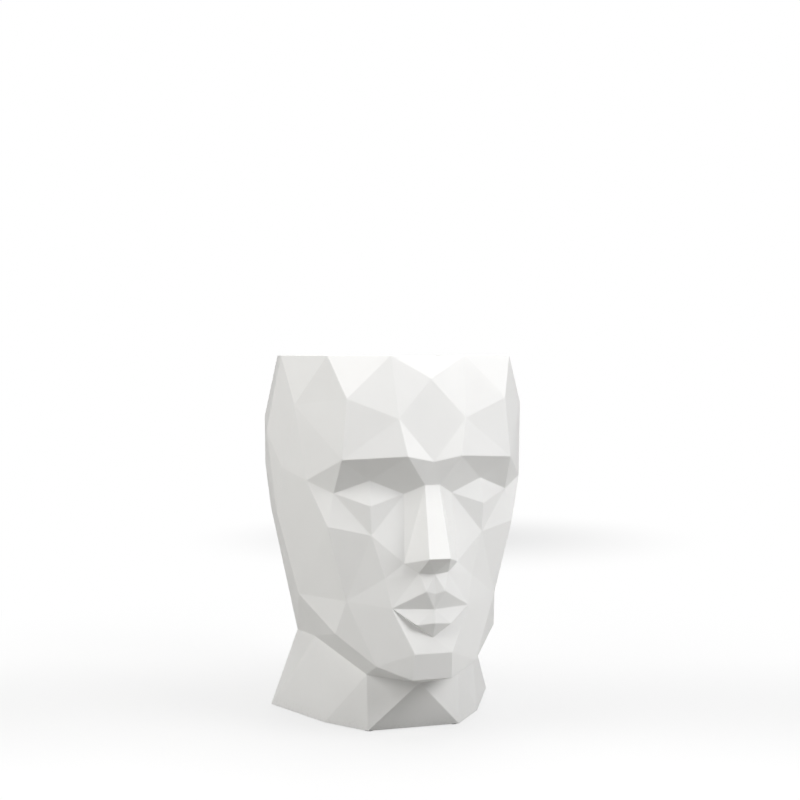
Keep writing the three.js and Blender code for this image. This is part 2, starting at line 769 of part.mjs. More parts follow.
// Rubber plug with a waisted knob to pull it by
function drainPlug() {
  const stem = DRAIN_RADIUS - FIT;
  const head = linerInside + PLUG_HEAD_THICK;
  const top = head + PLUG_KNOB_RISE;
  return turned([
    [0, LINER_Z - PLUG_TIP],
    [stem - EDGE, LINER_Z - PLUG_TIP],
    [stem, LINER_Z],
    [stem, linerInside],
    [PLUG_HEAD_RADIUS, linerInside],
    [PLUG_HEAD_RADIUS, head - EDGE],
    [PLUG_HEAD_RADIUS - EDGE, head],
    [PLUG_NECK_RADIUS, head],
    [PLUG_NECK_RADIUS, head + PLUG_NECK_RISE],
    [PLUG_KNOB_RADIUS, head + PLUG_NECK_RISE + EDGE],
    [PLUG_KNOB_RADIUS, top - EDGE],
    [PLUG_KNOB_RADIUS - EDGE, top],
    [0, top],
  ], 0, linerCentre, MIDDLE_SIDES);
}

// Places that repeat in the lamp, about its own axis
const pairs = (x, y) => [[x, y], [-x, y], [-x, -y], [x, -y]];
const boardPosts = pairs(BOARD_POST_X, BOARD_POST_Y);
const sinkPosts = pairs(SINK_POST_X, SINK_POST_Y);
const cellPlaces = Array.from({ length: CELL_COUNT }, (_, i) => (i - (CELL_COUNT - 1) / 2) * CELL_PITCH);
const hingeY = SOCKET_Y + HINGE_OFFSET;
const hingeZ = PLATE_BOTTOM - FIT - BARREL_RADIUS;
const smallBore = SMALL_SCREW_RADIUS + FIT;

// Cup with a broad flange: closes the floor's hole, carries all that is in the lamp
function lampBase() {
  let base = turned([
    [0, PLATE_BOTTOM],
    [PLATE_RADIUS - EDGE, PLATE_BOTTOM],
    [PLATE_RADIUS, PLATE_BOTTOM + EDGE],
    [PLATE_RADIUS, PLATE_TOP],
    [CUP_RADIUS, PLATE_TOP],
    [CUP_RADIUS, CUP_TOP],
    [CUP_INNER, CUP_TOP],
    [CUP_INNER, PLATE_TOP],
    [0, PLATE_TOP],
  ]);
  const holeTop = PLATE_TOP + BEYOND;
  const holeBottom = PLATE_BOTTOM - BEYOND;
  for (const { x, y } of fixingPlaces) {
    base = base.subtract(rod(BASE_SCREW_RADIUS + FIT, holeBottom, holeTop, x, y));
  }
  for (const [x, y] of boardPosts) {
    base = base.add(rod(BOARD_POST_RADIUS, PLATE_TOP - BEYOND, BOARD_Z, x, y));
    base = base.subtract(rod(smallBore, BOARD_Z - SMALL_SCREW_LENGTH, BOARD_Z + BEYOND, x, y));
  }
  for (const [x, y] of sinkPosts) {
    base = base.add(rod(SINK_POST_RADIUS, PLATE_TOP - BEYOND, SINK_Z, x, y));
    base = base.subtract(rod(smallBore, SINK_Z - SMALL_SCREW_LENGTH, SINK_Z + BEYOND, x, y));
  }
  for (const side of [-1, 1]) {
    base = base.add(rod(TRAY_POST_RADIUS, PLATE_TOP - BEYOND, TRAY_Z, side * EAR_MIDDLE, 0));
    base = base.subtract(rod(smallBore, TRAY_Z - SMALL_SCREW_LENGTH, TRAY_Z + BEYOND, side * EAR_MIDDLE, 0));
    base = base.add(rod(TRAY_POST_RADIUS, PLATE_TOP - BEYOND, TRAY_Z, 0, side * END_POST_Y));
  }
  base = base.subtract(rod(BUTTON_RADIUS + FIT, holeBottom, holeTop, 0, BUTTON_Y, MIDDLE_SIDES));
  base = base.subtract(rod(PIPE_RADIUS + FIT, holeBottom, holeTop));
  const [wide, deep] = [SOCKET_WIDTH + SOCKET_ROOM * 2, SOCKET_DEEP + SOCKET_ROOM * 2];
  base = base.subtract(slot(wide, deep, holeBottom, holeTop, 0, SOCKET_Y));
  for (const side of [-1, 1]) {
    const near = side * (BARREL_LENGTH / 2 + FIT);
    const far = near + side * LUG_THICK;
    const [x0, x1] = [Math.min(near, far), Math.max(near, far)];
    const low = [x0, hingeY - BARREL_RADIUS, hingeZ];
    const lug = block(low, [x1, hingeY + BARREL_RADIUS, PLATE_BOTTOM + BEYOND]);
    base = base.add(lug).add(crossBar(BARREL_RADIUS, x0, x1, hingeY, hingeZ));
    base = base.subtract(crossBar(PIN_RADIUS + FIT, x0 - BEYOND, x1 + BEYOND, hingeY, hingeZ));
  }
  return base;
}

// Flat ring between the flange and the pot's floor
function baseGasket() {
  let gasket = ring(OPENING_RADIUS, PLATE_RADIUS - EDGE, PLATE_TOP, FLOOR_HEIGHT);
  for (const { x, y } of fixingPlaces) {
    gasket = gasket.subtract(rod(BASE_SCREW_RADIUS + FIT, PLATE_TOP - BEYOND, FLOOR_HEIGHT + BEYOND, x, y));
  }
  return gasket;
}

const BASE_SCREW = {
  radius: BASE_SCREW_RADIUS,
  length: BASE_SCREW_LENGTH,
  headRadius: BASE_HEAD_RADIUS,
  headThick: BASE_HEAD_THICK,
};
const SMALL_SCREW = {
  radius: SMALL_SCREW_RADIUS,
  length: SMALL_SCREW_LENGTH,
  headRadius: SMALL_HEAD_RADIUS,
  headThick: SMALL_HEAD_THICK,
};

// Pan head screw whose head seats at a height and whose shank runs up or down from it
function screw({ radius, length, headRadius, headThick }, seat, direction, x, y) {
  const crown = seat - direction * headThick;
  const edge = seat - direction * headThick * HEAD_EDGE_SHARE;
  const profile = [
    [0, crown],
    [headRadius * HEAD_CROWN_SHARE, crown],
    [headRadius, edge],
    [headRadius, seat],
    [radius, seat],
    [radius, seat + direction * length],
    [0, seat + direction * length],
  ];
  const upright = direction > 0 ? profile : profile.reverse();
  return turned(upright, x, y, SMALL_SIDES);
}

function shellInsert({ x, y }) {
  const top = FLOOR_TOP + BOSS_RISE - BOSS_ROOF;
  const body = rod(INSERT_RADIUS, FLOOR_HEIGHT, top, x, y);
  return body.subtract(rod(BASE_SCREW_RADIUS + FIT, FLOOR_HEIGHT - BEYOND, top + BEYOND, x, y));
}

function controlBoard() {
  let board = rod(BOARD_RADIUS, BOARD_Z, BOARD_TOP, 0, 0, ROUND_SIDES);
  for (const [x, y] of boardPosts) {
    board = board.subtract(rod(smallBore, BOARD_Z - BEYOND, BOARD_TOP + BEYOND, x, y));
  }
  return board;
}

// Push switch under the board, its stem towards the button
function tactSwitch() {
  const half = SWITCH_SIZE / 2;
  const body = block([-half, BUTTON_Y - half, BOARD_Z - SWITCH_BODY], [half, BUTTON_Y + half, BOARD_Z]);
  return body.add(rod(SWITCH_STEM_RADIUS, SWITCH_TIP, BOARD_Z - SWITCH_BODY / 2, 0, BUTTON_Y));
}

// Button in the plate: collar inside, dished face below
function powerButton() {
  const bottom = PLATE_BOTTOM - BUTTON_PROUD;
  const collar = PLATE_TOP + FIT;
  return turned([
    [0, bottom + BUTTON_DISH],
    [BUTTON_RADIUS - BUTTON_EDGE * 2, bottom],
    [BUTTON_RADIUS - BUTTON_EDGE, bottom],
    [BUTTON_RADIUS, bottom + BUTTON_EDGE],
    [BUTTON_RADIUS, collar],
    [BUTTON_RADIUS + BUTTON_COLLAR, collar],
    [BUTTON_RADIUS + BUTTON_COLLAR, COLLAR_TOP],
    [SWITCH_STEM_RADIUS, COLLAR_TOP],
    [SWITCH_STEM_RADIUS, BUTTON_TIP],
    [0, BUTTON_TIP],
  ], 0, BUTTON_Y, MIDDLE_SIDES);
}

const socketBottom = PLATE_BOTTOM - FIT + CAP_PLUG_RISE + SOCKET_SET;

// Upright charge socket: oval can, open below, with a tongue
function chargeSocket() {
  const bore = BOARD_Z - SOCKET_ROOF;
  const can = slot(SOCKET_WIDTH, SOCKET_DEEP, socketBottom, BOARD_Z, 0, SOCKET_Y);
  const [wide, deep] = [SOCKET_WIDTH - SOCKET_SKIN * 2, SOCKET_DEEP - SOCKET_SKIN * 2];
  const hollow = can.subtract(slot(wide, deep, socketBottom - BEYOND, bore, 0, SOCKET_Y));
  const halfWide = SOCKET_TONGUE_WIDTH / 2;
  const halfThick = SOCKET_TONGUE_THICK / 2;
  const tongue = block(
    [-halfWide, SOCKET_Y - halfThick, socketBottom + SOCKET_SKIN],
    [halfWide, SOCKET_Y + halfThick, bore + SOCKET_SKIN],
  );
  return hollow.add(tongue);
}

// Rubber cover of the socket: plate with a plug, on a hinge barrel
function chargeCap() {
  const top = PLATE_BOTTOM - FIT;
  const front = SOCKET_Y - CAP_LENGTH / 2;
  const back = hingeY - BARREL_RADIUS / 2;
  const half = CAP_WIDTH / 2;
  const neck = BARREL_LENGTH / 2;
  const tail = SOCKET_Y + CAP_LENGTH / 2;
  const right = [
    [half - CAP_CORNER, front],
    [half, front + CAP_CORNER],
    [half, tail - CAP_CORNER],
    [neck, tail],
    [neck, back],
  ];
  const left = [...right].reverse().map(([x, y]) => [-x, y]);
  const outline = [...right, ...left].map(([x, y]) => new THREE.Vector2(x, y));
  const plate = prism(outline, top - CAP_THICK, top);
  const wide = SOCKET_WIDTH + SOCKET_ROOM * 2 - CAP_PLUG_GAP * 2;
  const deep = SOCKET_DEEP + SOCKET_ROOM * 2 - CAP_PLUG_GAP * 2;
  const plug = slot(wide, deep, top - BEYOND, top + CAP_PLUG_RISE, 0, SOCKET_Y);
  const barrel = crossBar(BARREL_RADIUS, -BARREL_LENGTH / 2, BARREL_LENGTH / 2, hingeY, hingeZ);
  const bore = crossBar(PIN_RADIUS + FIT, -BARREL_LENGTH, BARREL_LENGTH, hingeY, hingeZ);
  return plate.add(plug).add(barrel).subtract(bore);
}

function capPin() {
  const reach = BARREL_LENGTH / 2 + FIT + LUG_THICK;
  return crossBar(PIN_RADIUS, -reach, reach, hingeY, hingeZ);
}

// Clear rod that carries the charge light down through the plate
function lightPipe() {
  const collarTop = PLATE_TOP + PIPE_COLLAR_THICK;
  return turned([
    [0, PLATE_BOTTOM],
    [PIPE_RADIUS, PLATE_BOTTOM],
    [PIPE_RADIUS, PLATE_TOP],
    [PIPE_RADIUS + PIPE_COLLAR, PLATE_TOP],
    [PIPE_RADIUS + PIPE_COLLAR, collarTop],
    [PIPE_RADIUS, collarTop],
    [PIPE_RADIUS, BOARD_Z - FIT],
    [0, BOARD_Z - FIT],
  ], 0, 0, SMALL_SIDES);
}

// Tray for the cells, with end walls, low side walls and two ears on posts
function batteryTray() {
  const earHalf = STRAP_WIDTH / 2;
  let tray = block([-TRAY_REACH, -TRAY_LENGTH, TRAY_Z], [TRAY_REACH, TRAY_LENGTH, TRAY_TOP]);
  tray = tray.add(block([-EAR_END, -earHalf, TRAY_Z], [EAR_END, earHalf, TRAY_TOP]));
  for (const side of [-1, 1]) {
    const ends = [side * TRAY_END, side * (TRAY_END + TRAY_END_WALL)].sort((a, b) => a - b);
    tray = tray.add(block([-TRAY_REACH, ends[0], TRAY_Z], [TRAY_REACH, ends[1], TRAY_TOP + TRAY_END_RISE]));
    const sides = [side * TRAY_SIDE, side * TRAY_REACH].sort((a, b) => a - b);
    tray = tray.add(block([sides[0], -TRAY_END, TRAY_Z], [sides[1], TRAY_END, TRAY_TOP + TRAY_SIDE_RISE]));
    tray = tray.subtract(rod(smallBore, TRAY_Z - BEYOND, TRAY_TOP + BEYOND, side * EAR_MIDDLE, 0));
  }
  return tray;
}

// Round cell lying along Y, with its raised contact at one end, turned about for every second cell
function batteryCell(i) {
  const half = CELL_LENGTH / 2;
  const points = [
    [0, -half],
    [CELL_RADIUS - CELL_EDGE, -half],
    [CELL_RADIUS, -half + CELL_EDGE],
    [CELL_RADIUS, half - CELL_EDGE - CELL_CAP_RISE],
    [CELL_RADIUS - CELL_EDGE, half - CELL_CAP_RISE],
    [CELL_CAP_RADIUS, half - CELL_CAP_RISE],
    [CELL_CAP_RADIUS, half],
    [0, half],
  ].map(([radius, along]) => new THREE.Vector2(radius, along));
  const cell = new THREE.LatheGeometry(points, MIDDLE_SIDES);
  cell.rotateZ(i % 2 * Math.PI);
  return solidOf(cell.translate(cellPlaces[i], 0, CELL_Z));
}

// Steel strap over the cells, bent out at its feet
function batteryStrap() {
  const inner = TRAY_REACH + FIT;
  const outer = inner + STRAP_THICK;
  const right = [
    [inner, STRAP_Z],
    [inner, TRAY_TOP],
    [EAR_END, TRAY_TOP],
    [EAR_END, TRAY_TOP + STRAP_THICK],
    [outer, TRAY_TOP + STRAP_THICK],
    [outer, STRAP_Z + STRAP_THICK],
  ];
  const left = [...right].reverse().map(([x, z]) => [-x, z]);
  const shape = new THREE.Shape([...right, ...left].map(([x, z]) => new THREE.Vector2(x, z)));
  const band = new THREE.ExtrudeGeometry(shape, { depth: STRAP_WIDTH, bevelEnabled: false });
  band.rotateX(Math.PI / 2).translate(0, STRAP_WIDTH / 2, 0);
  let strap = solidOf(band);
  for (const side of [-1, 1]) {
    strap = strap.subtract(rod(smallBore, TRAY_TOP - BEYOND, STRAP_Z, side * EAR_MIDDLE, 0));
  }
  return strap;
}

// Round plate with fins below and a notch for the leads
function heatSink() {
  let sink = rod(SINK_RADIUS, SINK_Z, SINK_TOP, 0, 0, ROUND_SIDES);
  for (let i = 0; i < FIN_COUNT; i += 1) {
    const x = (i - (FIN_COUNT - 1) / 2) * FIN_PITCH;
    const low = [x - FIN_THICK / 2, -FIN_LENGTH / 2, SINK_Z - FIN_DROP];
    sink = sink.add(block(low, [x + FIN_THICK / 2, FIN_LENGTH / 2, SINK_Z + FIN_THICK / 2]));
  }
  const half = SINK_NOTCH_WIDTH / 2;
  const notch = block([-half, NOTCH_Y, SINK_Z - BEYOND], [half, CUP_RADIUS, SINK_TOP + BEYOND]);
  sink = sink.subtract(notch);
  for (const [x, y] of sinkPosts) {
    sink = sink.subtract(rod(smallBore, SINK_Z - BEYOND, SINK_TOP + BEYOND, x, y));
  }
  return sink;
}

function ledBoard() {
  return rod(LED_BOARD_RADIUS, SINK_TOP, LED_BOARD_TOP, 0, 0, ROUND_SIDES);
}

// Light source: square body with a low round lens
function led(i) {
  const angle = i / LED_COUNT * Math.PI * 2;
  const [x, y] = [Math.cos(angle) * LED_CIRCLE, Math.sin(angle) * LED_CIRCLE];
  const half = LED_SIZE / 2;
  const body = block([x - half, y - half, LED_BOARD_TOP], [x + half, y + half, LED_BOARD_TOP + LED_BODY]);
  const top = LED_BOARD_TOP + LED_BODY;
  const lens = turned([
    [0, top - LED_BODY / 2],
    [LED_LENS_RADIUS, top - LED_BODY / 2],
    [LED_LENS_RADIUS, top + LED_LENS_EDGE],
    [LED_LENS_TOP, top + LED_LENS_RISE],
    [0, top + LED_LENS_RISE],
  ], x, y, SMALL_SIDES);
  return body.add(lens);
}

function domeSeal() {
  return ring(CUP_INNER, CUP_RADIUS, CUP_TOP, DOME_Z);
}

// Frosted dome of even wall, with a flange that lies on the seal
function dome() {
  const flangeTop = DOME_Z + DOME_FLANGE;
  const arc = (radius, rise, i) => {
    const angle = i / DOME_STEPS * Math.PI / 2;
    return [radius * Math.cos(angle), flangeTop + rise * Math.sin(angle)];
  };
  const outside = Array.from({ length: DOME_STEPS + 1 }, (_, i) => arc(DOME_RADIUS, DOME_RISE, i));
  const inside = Array.from({ length: DOME_STEPS + 1 }, (_, i) => {
    return arc(DOME_RADIUS - DOME_WALL, DOME_RISE - DOME_WALL, DOME_STEPS - i);
  });
  outside[DOME_STEPS][0] = 0;
  inside[0][0] = 0;
  return turned([
    [DOME_RADIUS - DOME_WALL, DOME_Z],
    [CUP_RADIUS, DOME_Z],
    [CUP_RADIUS, flangeTop],
    ...outside,
    ...inside,
    [DOME_RADIUS - DOME_WALL, DOME_Z],
  ]);
}

// Ring screwed over the cup's edge, its lip above the dome's flange
function domeRing() {
  const lip = DOME_Z + DOME_FLANGE + FIT;
  const inner = CUP_RADIUS + FIT;
  const bottom = CUP_TOP - RING_SKIRT;
  return turned([
    [inner, bottom],
    [RING_OUTER, bottom],
    [RING_OUTER, lip + RING_LIP - EDGE],
    [RING_OUTER - EDGE, lip + RING_LIP],
    [RING_INNER, lip + RING_LIP],
    [RING_INNER, lip],
    [inner, lip],
    [inner, bottom],
  ]);
}

// Round lead along a smooth route
function lead(points) {
  const route = new THREE.CatmullRomCurve3(points.map((point) => new THREE.Vector3(...point)));
  const shape = new THREE.Shape();
  shape.absarc(0, 0, LEAD_RADIUS, 0, Math.PI * 2, false);
  return solidOf(new THREE.ExtrudeGeometry(shape, {
    extrudePath: route,
    steps: LEAD_STEPS,
    curveSegments: LEAD_SIDES,
    bevelEnabled: false,
  }));
}

// From a cell's end over the tray's end wall, down past its apron and in to the board
function batteryLead(side) {
  const x = side * cellPlaces[CELL_COUNT - 1];
  const end = -CELL_LENGTH / 2 - FIT;
  const over = TRAY_TOP + TRAY_END_RISE + LEAD_RADIUS * 2;
  const out = -TRAY_LENGTH - LEAD_RADIUS * 4;
  const under = (BOARD_TOP + TRAY_Z) / 2;
  const landing = -BOARD_RADIUS * 0.6;
  return lead([
    [x, end, over],
    [x, end - LEAD_RADIUS * 4, over],
    [x, out, over - LEAD_RADIUS * 5],
    [x, out, TRAY_TOP],
    [x * 0.85, out + LEAD_RADIUS * 6, under],
    [x * 0.55, landing - LEAD_RADIUS * 5, under],
    [x * 0.45, landing, under],
    [x * 0.45, landing, BOARD_TOP + FIT],
  ]);
}

// From the board round the tray's other end, up through the sink's notch and on to the light board
function ledLead(side) {
  const x = side * SINK_NOTCH_WIDTH / 4;
  const under = (BOARD_TOP + TRAY_Z) / 2;
  const out = NOTCH_Y + LEAD_RADIUS * 2.2;
  const landing = BOARD_RADIUS * 0.75;
  const over = LED_BOARD_TOP + LEAD_RADIUS * 4;
  return lead([
    [x * 3, landing, BOARD_TOP + FIT],
    [x * 3, landing, under],
    [x * 3, landing + LEAD_RADIUS * 5, under],
    [x * 2.6, out - LEAD_RADIUS * 3, under + LEAD_RADIUS],
    [x * 1.6, out, TRAY_TOP + TRAY_END_RISE / 2],
    [x, out, SINK_Z],
    [x, out - LEAD_RADIUS, over - LEAD_RADIUS],
    [x, LED_BOARD_RADIUS - LEAD_RADIUS * 2, over],
    [x, LED_BOARD_RADIUS - LEAD_RADIUS * 6, over - LEAD_RADIUS],
    [x, LED_BOARD_RADIUS - LEAD_RADIUS * 6, LED_BOARD_TOP + FIT],
  ]);
}

// The pot, with the lamp in a group of its own on the lamp's axis
const pot = new THREE.Group();
const lamp = new THREE.Group();
lamp.position.set(0, lampY, 0);
pot.add(lamp);

piece(pot, 'head_shell', headShell(), SHELL_WHITE);
piece(pot, 'planting_liner', plantingLiner(), LINER_GREY);
piece(pot, 'drain_plug', drainPlug(), RUBBER_BLACK);
footPlaces.forEach((place, i) => piece(pot, `foot_${i + 1}`, foot(place), RUBBER_BLACK));

piece(lamp, 'lamp_base', lampBase(), LAMP_WHITE);
piece(lamp, 'base_gasket', baseGasket(), SEAL_GREY);
fixingPlaces.forEach(({ x, y }, i) => {
  piece(lamp, `base_screw_${i + 1}`, screw(BASE_SCREW, PLATE_BOTTOM, 1, x, y), STEEL);
  piece(lamp, `shell_insert_${i + 1}`, shellInsert({ x, y }), BRASS);
});

const smallScrew = (seat, x, y) => screw(SMALL_SCREW, seat, -1, x, y);
piece(lamp, 'control_board', controlBoard(), BOARD_GREEN);
boardPosts.forEach(([x, y], i) => piece(lamp, `board_screw_${i + 1}`, smallScrew(BOARD_TOP, x, y), STEEL));
piece(lamp, 'tact_switch', tactSwitch(), TRAY_BLACK);
piece(lamp, 'power_button', powerButton(), RUBBER_BLACK);
piece(lamp, 'charge_socket', chargeSocket(), STEEL);
piece(lamp, 'charge_cap', chargeCap(), RUBBER_BLACK);
piece(lamp, 'cap_pin', capPin(), STEEL);
piece(lamp, 'light_pipe', lightPipe(), CLEAR);

piece(lamp, 'battery_tray', batteryTray(), TRAY_BLACK);
cellPlaces.forEach((_, i) => piece(lamp, `battery_cell_${i + 1}`, batteryCell(i), CELL_BLUE));
piece(lamp, 'battery_strap', batteryStrap(), STEEL);
[-1, 1].forEach((side, i) => {
  const holder = smallScrew(TRAY_TOP + STRAP_THICK, side * EAR_MIDDLE, 0);
  piece(lamp, `strap_screw_${i + 1}`, holder, STEEL);
});

piece(lamp, 'heat_sink', heatSink(), ALUMINIUM);
sinkPosts.forEach(([x, y], i) => piece(lamp, `sink_screw_${i + 1}`, smallScrew(SINK_TOP, x, y), STEEL));
piece(lamp, 'led_board', ledBoard(), BOARD_WHITE);
for (let i = 0; i < LED_COUNT; i += 1) {
  piece(lamp, `led_${i + 1}`, led(i), LED_YELLOW);
}
piece(lamp, 'dome_seal', domeSeal(), SEAL_GREY);
piece(lamp, 'dome', dome(), FROSTED);
piece(lamp, 'dome_ring', domeRing(), LAMP_WHITE);

piece(lamp, 'battery_lead_pos', batteryLead(1), LEAD_RED);
piece(lamp, 'battery_lead_neg', batteryLead(-1), LEAD_BLACK);
piece(lamp, 'led_lead_pos', ledLead(1), LEAD_RED);
piece(lamp, 'led_lead_neg', ledLead(-1), LEAD_BLACK);

export default pot;
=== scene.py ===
from math import cos, pi, radians, sin, tau

import bpy
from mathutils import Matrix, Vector


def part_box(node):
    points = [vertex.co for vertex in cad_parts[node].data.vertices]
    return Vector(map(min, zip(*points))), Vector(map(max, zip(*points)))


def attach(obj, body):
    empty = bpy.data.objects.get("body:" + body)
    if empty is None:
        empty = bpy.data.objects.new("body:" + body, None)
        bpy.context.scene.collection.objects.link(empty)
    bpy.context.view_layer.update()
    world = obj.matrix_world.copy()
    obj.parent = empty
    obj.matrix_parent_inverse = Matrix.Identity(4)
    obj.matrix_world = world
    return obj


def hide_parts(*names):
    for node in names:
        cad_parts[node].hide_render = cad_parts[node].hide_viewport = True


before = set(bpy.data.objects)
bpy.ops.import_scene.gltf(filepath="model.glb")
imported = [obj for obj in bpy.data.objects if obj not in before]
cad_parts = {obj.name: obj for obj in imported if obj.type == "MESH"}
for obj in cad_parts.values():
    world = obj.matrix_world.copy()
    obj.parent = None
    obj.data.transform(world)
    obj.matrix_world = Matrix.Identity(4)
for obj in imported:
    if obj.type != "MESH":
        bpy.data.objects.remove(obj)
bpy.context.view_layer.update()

MM = 0.001

# Picture: 800 pixels square, the pot turned a little, the eye level with its rim
PICTURE = 800
SENSOR = 36.0
LENS_PIXELS = 1286
EYE_HEIGHT = 0.552
EYE_DISTANCE = 2.0
EYE_TURN = radians(-16)
EYE_PITCH = radians(2.05)
EYE_SIDESTEP = 0.0148

# Studio: world light at the horizon and overhead, white background, floor
HORIZON_LIGHT = 0.06
ZENITH_LIGHT = 0.08
BACKGROUND_LIGHT = 1.0
FLOOR_SIZE = 60
FLOOR_TONE = 0.82
FLOOR_BOUNCE = (0.37, 0.367, 0.356, 1)
FLOOR_NEAR = 0.4
FLOOR_FAR = 1.1
FLOOR_GLOW = 0.8

# Soft shadows painted on the floor, cast by no lamp: how far behind the pot and to its right, half depth,
# half width, darkness
PAINTED_FLOOR_SHADOWS = ((-0.03, 0.0, 0.4, 30.0, 0.09), (1.85, 0.14, 0.66, 0.82, 0.2))

# Soft lamps: name, place, size, power and tint
LIGHT_TARGET = (0, 0, 0.3)
LIGHTS = (
    ("key_light", (2.1, -2.4, 2.3), 1.8, 94, (1, 1, 1)),
    ("top_light", (0.3, -0.4, 3.4), 3.0, 58, (1, 1, 1)),
    ("fill_light", (-2.8, -0.6, 1.9), 2.2, 68, (1.0, 0.993, 0.97)),
    ("back_light", (0.9, 2.8, 2.2), 2.4, 40, (1, 1, 1)),
)

# Modelling: merging, flatness, shading and how finely round pieces are stepped
MERGE = 0.02 * MM
FLAT_ANGLE = radians(0.6)
SMOOTH_ANGLE = radians(40)
SHARP_ANGLE = radians(30)
LARGE_STEPS = 96
MIDDLE_STEPS = 64
SMALL_STEPS = 32
CURVE_STEPS = 4
BEYOND = 1 * MM
ALONG_X = (0, pi / 2, 0)

# Roundings of turned edges, from the finest to the broadest
ROUND_HAIR = 0.15 * MM
ROUND_FINE = 0.2 * MM
ROUND_SMALL = 0.3 * MM
ROUND_SOFT = 0.4 * MM
ROUND_BROAD = 0.6 * MM

# Shell and liner edges, and how faces are told apart by the upright part of their normal
LEVEL = 0.9999
FACET_EDGE = 1 * MM
LINER_CORNER = 3 * MM
LINER_EDGE = 0.7 * MM
LINER_FLANGE = 5 * MM
LINER_RIB_RISE = 4 * MM
LINER_WALL_TURN = radians(8)
UPRIGHT_SHARE = 0.8
SLOPING = 0.05
STEEP = 0.5
NEARLY_LEVEL = 0.99

# Drain plug and feet
PLUG_STEM = 8.7 * MM
PLUG_FLOOR_RISE = 6 * MM
PLUG_HEAD_RISE = 9 * MM
PLUG_NECK = 3.5 * MM
PLUG_KNOB = 5 * MM
PLUG_NECK_RISE = 5.5 * MM
PLUG_TIP_ROUND = 0.9 * MM
PLUG_HEAD_ROUND = 1.3 * MM
PLUG_NECK_ROUND = 1.6 * MM
PLUG_KNOB_SLOPE = 1 * MM
PLUG_KNOB_ROUND = 1.8 * MM
FOOT_GROOVE = 0.5 * MM
FOOT_GROOVE_REACH = 0.5
FOOT_EDGE = 1 * MM
FOOT_TAPER = 0.8

# Lamp cup, its plate and the posts in it
CUP_WALL = 3 * MM
PLATE_EDGE = 1.2 * MM
PLATE_GROOVE = 0.8 * MM
PLATE_GROOVE_WIDTH = 1.6 * MM
CUP_FILLET = 1.5 * MM
GASKET_GAP = 1.6 * MM
SEAL_EDGE = 0.35 * MM
FIXING_HOLE = 2.2 * MM
SMALL_HOLE = 1.4 * MM
SMALL_HOLE_DEPTH = 6 * MM
BOARD_POST = 3.2 * MM
SINK_POST = 5.5 * MM
TRAY_POST = 4 * MM
END_POST_PLACE = 38.4 * MM
FIT = 0.3 * MM
LUG_WIDTH = 3 * MM
HINGE_BARREL = 1.6 * MM
HINGE_BORE = 1.1 * MM
SOCKET_ROOM = 1 * MM

# Screws and inserts, with shares of a screw's shank, head and pitch
BASE_HEAD_RISE = 2.6 * MM
BASE_SHANK = 1.75 * MM
BASE_PITCH = 0.8 * MM
SMALL_HEAD_RISE = 1.6 * MM
SMALL_SHANK = 0.9 * MM
SMALL_PITCH = 0.7 * MM
THREAD_RISE = 0.3 * MM
THREAD_STEPS = 20
THREAD_CREST = 0.45
THREAD_FOOT = 0.9
TIP_WIDTH = 0.6
TIP_RISE = 0.8
HEAD_SIDE = 0.5
HEAD_SIDE_ROUND = 0.2
HEAD_CROWN = 0.72
HEAD_CROWN_ROUND = 0.4
DRIVE_WIDTH = 0.24
DRIVE_REACH = 1.1
DRIVE_DEPTH = 0.6
INSERT_BANDS = 5
INSERT_BAND_DEPTH = 0.5 * MM

# Boards, socket, switch, cells, heat sink and light sources
BOARD_EDGE = 0.2 * MM
SOCKET_SKIN = 0.5 * MM
SOCKET_ROOF = 2 * MM
TONGUE_WIDTH = 6.6 * MM
TONGUE_THICK = 0.8 * MM
SWITCH_BODY = 2.2 * MM
SWITCH_STEM = 1.8 * MM
BUTTON_RADIUS = 8 * MM
BUTTON_RIM = 1.6 * MM
BUTTON_DISH = 0.8 * MM
BUTTON_RING = (0.36, 0.44, 0.56, 0.64)
BUTTON_EDGE = 0.6 * MM
BUTTON_STEM_RISE = 0.7 * MM
BUTTON_COLLAR_THICK = 1.4 * MM
CAP_THICK = 2 * MM
CAP_CORNER = 3 * MM
CAP_LENGTH = 16 * MM
CAP_EDGE = 0.5 * MM
CAP_PLUG_GAP = 0.9 * MM
PIPE_RADIUS = 2 * MM
PIPE_COLLAR_THICK = 1 * MM
PIPE_TIP_ROUND = 0.7 * MM
CHIP_SIZE = 8 * MM
CHIP_RISE = 1.4 * MM
CHIP_LEGS = 6
CHIP_MARK = 0.6 * MM
CHIP_GAP = 0.15 * MM
LEG_LENGTH = 1.3 * MM
LEG_RISE = 0.8 * MM
LEG_WIDTH = 0.5 * MM
LEG_THICK = 0.25 * MM
LEG_BENDS = (0.15, 0.35, 0.4, 0.6)
COIL_PLACE = -14 * MM
COIL_SIZE = 7 * MM
COIL_RISE = 3 * MM
COIL_GROOVE = (0.5, 0.8)
CAN_RADIUS = 2.6 * MM
CAN_RISE = 4.4 * MM
CAN_BEAD = (0.2, 0.26, 0.32)
CAN_WAIST = 0.92
CAN_PLACES = ((14 * MM, 4 * MM), (14 * MM, -4 * MM))
CELL_EDGE = 0.9 * MM
CELL_CAP = 3 * MM
CELL_CAP_RISE = 0.5 * MM
CELL_CAP_SLOPE = 0.5 * MM
CELL_RING = 5.6 * MM
CELL_RING_SLOPE = 0.4 * MM
CELL_RECESS = 0.6 * MM
FIN_DROP = 2.6 * MM
FIN_THICK = 2 * MM
FIN_PITCH = 9 * MM
FIN_COUNT = 9
FIN_LENGTH = 60 * MM
SINK_NOTCH = 18 * MM
LED_BODY = 1 * MM
LED_LENS = 2 * MM
LED_EDGE = 0.15 * MM
LENS_WALL = 0.2 * MM
LENS_ROUND = 1 * MM
LENS_CROWN = 0.4
THIN_EDGE = 0.3 * MM

